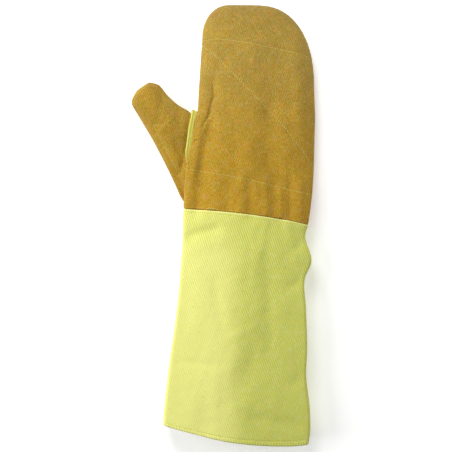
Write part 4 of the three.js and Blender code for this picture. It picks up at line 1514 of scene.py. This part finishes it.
class Finish:
    """A material and the steps that its graph is built from."""

    def __init__(self, name):
        self.material = bpy.data.materials.new(name)
        self.material.use_nodes = True
        self.tree = self.material.node_tree
        self.tree.nodes.clear()

    def node(self, kind, settings, inputs, output=0):
        """A node of one type, with its settings, its inputs and the output that goes on from it."""
        made = self.tree.nodes.new(kind)
        for key, value in settings.items():
            setattr(made, key, value)
        for key, value in inputs.items():
            if isinstance(value, Wire):
                self.tree.links.new(value.socket, made.inputs[key])
            else:
                made.inputs[key].default_value = value
        return Wire(self, made.outputs[output]) if made.outputs else None

    def cloth(self):
        """The place on the flat cloth, in millimetres."""
        return self.node("ShaderNodeUVMap", {"uv_map": "cloth_mm"}, {})

    def marked(self, name):
        """A value that the mesh keeps for each of its points, or 0 where it keeps none."""
        return self.node("ShaderNodeAttribute", {"attribute_name": name}, {}, ATTRIBUTE_VALUE)

    def part(self, vector, axis):
        return self.node("ShaderNodeSeparateXYZ", {}, {0: vector}, axis)

    def clouds(self, place, scale, detail=2.0, roughness=0.5):
        """Soft random values round 0.5, one cloud for each 1 / scale of the place."""
        inputs = {"Vector": place, "Scale": scale, "Detail": detail, "Roughness": roughness}
        return self.node("ShaderNodeTexNoise", {}, inputs)

    def blend(self, first, second, share):
        inputs = {0: share, COLOUR_A: first, COLOUR_B: second}
        return self.node("ShaderNodeMix", {"data_type": "RGBA"}, inputs, COLOUR_RESULT)

    def shade(self, base, by):
        """A colour made darker or lighter by a value round 1."""
        grey = self.node("ShaderNodeCombineColor", {}, {0: by, 1: by, 2: by})
        settings = {"data_type": "RGBA", "blend_type": "MULTIPLY"}
        return self.node("ShaderNodeMix", settings, {0: 1.0, COLOUR_A: base, COLOUR_B: grey}, COLOUR_RESULT)

    def surface(self, inputs):
        """Ends the graph in a Principled shader with these inputs, and gives the material."""
        shader = self.node("ShaderNodeBsdfPrincipled", {}, inputs)
        self.node("ShaderNodeOutputMaterial", {}, {"Surface": shader})
        return self.material

    def woven(self, base, height, height_mm, uniform):
        """Ends in cloth or thread, with a relief of up to height_mm where height is 1."""
        relief = {"Strength": 1.0, "Distance": height_mm / 1000, "Height": height}
        bump = self.node("ShaderNodeBump", {}, relief)
        return self.surface({"Base Color": base, "Normal": bump, **uniform})


print("sockets of a colour blend:", (COLOUR_A, COLOUR_B), "to", COLOUR_RESULT)

# %% [markdown]
# ## What both cloths share
# Both cloths are woven, and spun from fibres of several colours. Three helpers draw what they have in
# common: slanting lines of the weave that wander a little, colours laid on each other in soft patches, and
# single light and dark fibres. A picture of cloth wrapped round the mesh would be quicker to make, but it
# would repeat, and it would stretch over the puckers.

# %% Lines, layers and grain
LIGHT_GRAIN = (0.48, 0.66)
DARK_GRAIN = (0.52, 0.34)


def lines(finish, place, degrees, pitch, wander, wander_size):
    """Slanting lines of a weave from -1 to 1, that wander a little. degrees is the way across the lines."""
    x, y = finish.part(place, 0), finish.part(place, 1)
    across = x * math.cos(math.radians(degrees)) + y * math.sin(math.radians(degrees))
    wandering = finish.clouds(place, 1 / wander_size, 1.0) * wander
    return ((across + wandering) * (2 * math.pi / pitch)).sine()


def layered(finish, base, layers):
    """Lays colours on a cloth. A layer is the colour, where it shows from 0 to 1, and its greatest share."""
    for laid, shown, share in layers:
        base = finish.blend(base, laid, shown * share)
    return base


def grained(finish, base, grain, light, dark, strength):
    """Single fibres on a cloth: light ones where the grain's value is high, dark ones where it is low."""
    fibres = [(light, grain.between(*LIGHT_GRAIN), strength), (dark, grain.between(*DARK_GRAIN), strength)]
    return layered(finish, base, fibres)


print("grain that shows as light fibres:", LIGHT_GRAIN, "and as dark ones:", DARK_GRAIN)

# %% [markdown]
# ## Colours of the heat cloth
# The hand's cloth is a thick, brushed weave spun from fibres of several colours: orange, ochre, olive and
# tan. Use has left it dustier towards the fingertips and redder at the wrist. One colour with a bump would
# look moulded, because such cloth is known by its mixed fibres.

# %% Colours of the heat cloth
OCHRE = colour(178, 140, 33)
DUSTY_OCHRE = colour(164, 139, 62)
RUST = colour(178, 130, 14)
GOLD = colour(186, 140, 24)
OLIVE = colour(162, 143, 42)
ORANGE = colour(192, 128, 44)
TAN = colour(184, 150, 88)
DEEP_OCHRE = colour(168, 127, 10)
STRAW_FIBRE = colour(212, 174, 80)
BROWN_FIBRE = colour(143, 102, 4)
print("ochre as linear light:", np.round(OCHRE[:3], 3))

# %% [markdown]
# ## The golden-brown heat cloth
# From a distance the colours show as soft streaks along the warp, and from close by as single specks of
# fibre. The finish lays them on one another, from the broadest to the finest. Places on the cloth are
# stretched along the warp by a scale for each axis, and a shift gives each kind of cloud its own part of
# the same noise. Last come painted light and shade: painted shade darkens the fingertips' edge and the
# thumb a little, and painted light brightens one patch at the wrist.

# %% Heat cloth finish
HEAT_CLOTH_RELIEF = 0.4
HEAT_CLOTH_SURFACE = {
    "Roughness": 0.95,
    "Sheen Weight": 0.1,
    "Sheen Roughness": 0.6,
    "Specular IOR Level": 0.12,
}


def heat_cloth_finish():
    """The golden-brown cloth, from its broad colours to its fibres and its relief."""
    finish = Finish("heat_cloth")
    place = finish.cloth()
    x, y = finish.part(place, 0), finish.part(place, 1)
    blotches = finish.clouds(place * (1 / 14, 1 / 22, 1), 1, detail=3, roughness=0.6)
    hues = finish.clouds(place * (1 / 4, 1 / 9, 1) + (9, 5, 0), 1)
    tints = finish.clouds(place * (1 / 4, 1 / 7, 1) + (60, 20, 0), 1)
    tufts = finish.clouds(place * (1 / 1.3, 1 / 2.6, 1), 1, roughness=0.7)
    specks = finish.clouds(place + (40, 70, 0), 1, detail=1, roughness=0.6)
    weave = lines(finish, place, degrees=-20, pitch=2.3, wander=0.9, wander_size=6)
    rows = lines(finish, place, degrees=86, pitch=1.4, wander=0.5, wander_size=3)
    at_thumb = x.between(-58, -70)
    dusty = y.between(60, 190) * (1 - at_thumb * 0.6)
    base = layered(
        finish,
        finish.blend(OCHRE, DUSTY_OCHRE, dusty),
        [
            (RUST, y.between(60, 10), 0.3),
            (GOLD, blotches.between(0.5, 0.7), 0.3),
            (OLIVE, hues.between(0.5, 0.66), 0.5),
            (ORANGE, hues.between(0.5, 0.34), 0.4),
            (TAN, tints.between(0.5, 0.68), 0.36),
            (DEEP_OCHRE, tints.between(0.5, 0.32), 0.38),
        ],
    )
    base = grained(finish, base, tufts * 0.5 + specks * 0.5, STRAW_FIBRE, BROWN_FIBRE, 0.35)
    # Painted shade darkens the fingertips' edge and the thumb, and painted light brightens a patch at the
    # wrist.
    fingertip_painted_shade = y.between(200, 236)
    wrist_painted_light = y.between(48, 26) * x.between(-30, -8) * x.between(46, 24)
    light = 1 + (blotches - 0.5) * 0.45 + (tufts - 0.5) * 0.55 + weave * 0.07
    light = light - fingertip_painted_shade * 0.14 + wrist_painted_light * 0.08 - at_thumb * 0.08
    height = tufts * 0.5 + specks * 0.5 + weave * 0.12 + rows * 0.1
    return finish.woven(finish.shade(base, light), height, HEAT_CLOTH_RELIEF, HEAT_CLOTH_SURFACE)


heat_cloth = heat_cloth_finish()
print("heat cloth nodes:", len(heat_cloth.node_tree.nodes))

# %% [markdown]
# ## Colours of the twill
# The twill is spun from two near yellows, so that close up it has warm and green places, and paler and
# deeper ones. The colours lie close together, because further apart they would show as stains. A few bits
# of brown lint lie on it.

# %% Colours of the twill
WARM_FIBRE = colour(224, 213, 106)
GREEN_FIBRE = colour(202, 214, 96)
PALE_FIBRE = colour(222, 223, 138)
DEEP_FIBRE = colour(216, 217, 86)
LIGHT_FIBRE = colour(240, 241, 146)
SHADED_FIBRE = colour(172, 175, 74)
LINT = colour(168, 118, 52)
print("warm fibre as linear light:", np.round(WARM_FIBRE[:3], 3))

# %% [markdown]
# ## The yellow-green twill
# Twill has a raised rib wherever the weft passes over the warp, one step further along in each row, so the
# ribs run slanting down the cloth. As geometry they would need a point every half millimetre, so they are
# drawn by colour and a bump. Between the ribs the cloth is greener and in painted shade, and single yarns
# run across them. Towards the left painted light makes the cloth paler, and towards the right painted
# shade makes it a little darker and its ribs softer. Near the top the ribs are crisper. The folded edge is
# paler, and at the hem painted light and shade stripe the ribs across the fold. The gusset is the same
# twill with colours of its own. It keeps no marks, so the folded edge and the hem stay off it.

# %% Twill finish
RIB_PITCH = 2.3
RIB_WAY = 20
YARN_PITCH = 0.8
YARN_WAY = RIB_WAY + 62
TWILL_RELIEF = 0.12
TWILL_SURFACE = {
    "Roughness": 0.8,
    "Sheen Weight": 0.15,
    "Sheen Roughness": 0.5,
    "Specular IOR Level": 0.25,
}


def twill_finish(name, ridge, valley, pale_and_painted_light):
    """A twill with colours for its ribs, for the cloth between them, and a pale one for painted light and its
    edge.
    """
    finish = Finish(name)
    place = finish.cloth()
    x, y = finish.part(place, 0), finish.part(place, 1)
    ribs = lines(finish, place, RIB_WAY, RIB_PITCH, wander=0.6, wander_size=5) * 0.5 + 0.5
    yarn = lines(finish, place, YARN_WAY, YARN_PITCH, wander=0.3, wander_size=2)
    clouds = finish.clouds(place, 1 / 30, detail=3, roughness=0.6)
    hues = finish.clouds(place + (31, 8, 0), 1 / 7)
    tints = finish.clouds(place + (3, 64, 0), 1 / 6)
    specks = finish.clouds(place, 1 / 1.2, roughness=0.6)
    lint = finish.clouds(place + (13, 57, 0), 1 / 1.7, detail=0)
    at_left, at_right = x.between(30, -10), x.between(30, 75)
    below_top, near_top = y.between(0, -40), y.between(-110, -40)
    base = layered(
        finish,
        finish.blend(valley, ridge, ribs.between(0.05, 0.75)),
        [
            (WARM_FIBRE, hues.between(0.5, 0.68), 0.4),
            (GREEN_FIBRE, hues.between(0.5, 0.32), 0.4),
            (PALE_FIBRE, tints.between(0.5, 0.68), 0.35),
            (DEEP_FIBRE, tints.between(0.5, 0.32), 0.35),
        ],
    )
    # Painted light: the left of the cloth is blended towards the pale colour, more so below the top.
    base = finish.blend(base, pale_and_painted_light, at_left * (below_top * 0.4 + 0.25))
    base = grained(finish, base, specks, LIGHT_FIBRE, SHADED_FIBRE, 0.15)
    base = finish.blend(base, LINT, lint.between(0.79, 0.84) * 0.6)
    # The folded edge is blended towards the same pale colour.
    base = finish.blend(base, pale_and_painted_light, finish.marked("folded_edge") * 0.8)
    crisp = at_left * 0.35 + near_top * 0.9 - at_right * 0.6
    # Painted shade darkens the right side, and painted light and shade stripe the ribs of the hem.
    light = 1 + (clouds - 0.5) * 0.1 + yarn * 0.03 + (ribs - 0.5) * crisp * 0.12 - at_right * 0.06
    hem_ribs = (x * (2 * math.pi / HEM_RIBS["pitch"])).sine().between(-0.6, 0.6) - 0.45
    light = light + hem_ribs * finish.marked("hem_band") * 0.14
    height = ribs + yarn * 0.15 + specks * 0.3
    return finish.woven(finish.shade(base, light), height, TWILL_RELIEF, TWILL_SURFACE)


twill = twill_finish("twill", colour(219, 221, 110), colour(194, 200, 88), colour(250, 248, 150))
gusset_twill = twill_finish("gusset_cloth", colour(218, 208, 90), colour(200, 196, 78), colour(212, 204, 96))
print("twill nodes:", len(twill.node_tree.nodes))

# %% [markdown]
# ## The threads
# The padding is quilted with a straw-coloured thread, and the cuff is sewn with a paler one in its own
# colour. A thread is twisted from two plies, which at this size is a fine change from dark to light along
# it. Stitches have no place on flat cloth, so the noise runs through the room, in millimetres.

# %% Thread finishes
PLY_LENGTH = 0.5
THREAD_RELIEF = 0.08
THREAD_SURFACE = {"Roughness": 0.7, "Specular IOR Level": 0.3}


def thread_finish(name, dark, light):
    """A twisted thread that changes between two colours."""
    finish = Finish(name)
    place = finish.node("ShaderNodeNewGeometry", {}, {}) * 1000
    twist = finish.clouds(place, 1 / PLY_LENGTH, roughness=0.6)
    return finish.woven(finish.blend(dark, light, twist), twist, THREAD_RELIEF, THREAD_SURFACE)


thread = thread_finish("thread", colour(198, 182, 84), colour(218, 202, 110))
cuff_yarn = thread_finish("cuff_thread", colour(214, 214, 106), colour(232, 232, 134))
print("thread nodes:", len(thread.node_tree.nodes))

# %% [markdown]
# ## Dressing the model
# Each cloth piece takes its finish and the place of its plain solid. The mitten has no joint, so every
# piece rides on the one body.

# %% Finishes and places
for piece, finish, slot_name in (
    (hand_front, heat_cloth, "heat_cloth"),
    (hand_back, heat_cloth, "heat_cloth"),
    (thumb_front, heat_cloth, "heat_cloth"),
    (thumb_back, heat_cloth, "heat_cloth"),
    (gusset, gusset_twill, "gusset_cloth"),
    (cuff, twill, "twill"),
    (hand_front_thread, thread, "thread"),
    (hand_back_thread, thread, "thread"),
    (thumb_thread, thread, "thread"),
    (cuff_thread, cuff_yarn, "thread"),
    (loose_thread, thread, "thread"),
):
    piece.data.materials.append(finish)
    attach(piece, "root")

for piece, node in (
    (hand_front, "hand_front"),
    (hand_back, "hand_back"),
    (thumb_front, "thumb_front"),
    (thumb_back, "thumb_back"),
    (gusset, "crotch_gusset"),
    (cuff, "cuff"),
):
    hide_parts(node)
    print(piece.name, "stands for", node)

# %% [markdown]
# ## The floor
# The ground is plain and almost white. A floor that only reflects would turn grey away from the lamps, so
# it also glows faintly by itself. That keeps it pale and leaves the mitten's shadow soft.

# %% Floor
FLOOR_HALF_SIZE = 4
FLOOR_SURFACE = {
    "Base Color": (0.9, 0.9, 0.9, 1),
    "Roughness": 1.0,
    "Specular IOR Level": 0.0,
    "Emission Color": (1, 1, 1, 1),
    "Emission Strength": 0.4,
}

square = ((-1, -1), (1, -1), (1, 1), (-1, 1))
floor_corners = [(x * FLOOR_HALF_SIZE, y * FLOOR_HALF_SIZE, 0) for x, y in square]
floor_mesh = bpy.data.meshes.new("floor")
floor_mesh.from_pydata(floor_corners, [], [(0, 1, 2, 3)])
floor_mesh.materials.append(Finish("floor").surface(FLOOR_SURFACE))
floor = bpy.data.objects.new("floor", floor_mesh)
bpy.context.scene.collection.objects.link(floor)
print("floor, m:", 2 * FLOOR_HALF_SIZE)

# %% [markdown]
# ## The light
# The light is soft and comes from three sides. A key lamp beyond the fingertips gives the folds their
# edges, a large softbox at the left brightens the cuff's left side, and a weaker fill at the right keeps
# the other side from going dark. Each is a square area lamp that points at the middle of the mitten, and
# the larger it is, the softer its shadows. A sun lamp would be simpler, but the mitten's shadow is a soft
# one. A faint, slightly cool surround fills in the rest.

# %% Lamps and surround
LAMPS = {
    "key": {"place": (-0.25, 0.8, 0.9), "size": 0.5, "watts": 9},
    "softbox": {"place": (-1.4, 0.1, 0.9), "size": 1.2, "watts": 23.6},
    "fill": {"place": (1.3, 0.2, 0.7), "size": 1.2, "watts": 7},
}
SURROUND = {"Color": (0.95, 0.97, 1, 1), "Strength": 0.05}

for lamp_name, settings in LAMPS.items():
    lamp_data = bpy.data.lights.new(lamp_name, "AREA")
    lamp_data.size = settings["size"]
    lamp_data.energy = settings["watts"]
    lamp = bpy.data.objects.new(lamp_name, lamp_data)
    lamp.location = settings["place"]
    lamp.rotation_euler = (-lamp.location).to_track_quat("-Z", "Y").to_euler()
    bpy.context.scene.collection.objects.link(lamp)
    print(lamp_name, "lamp, m from the mitten:", round(lamp.location.length, 2))

world = bpy.data.worlds.new("surround")
world.use_nodes = True
for socket_name, value in SURROUND.items():
    world.node_tree.nodes["Background"].inputs[socket_name].default_value = value
bpy.context.scene.world = world
bpy.context.scene.view_settings.view_transform = "Standard"
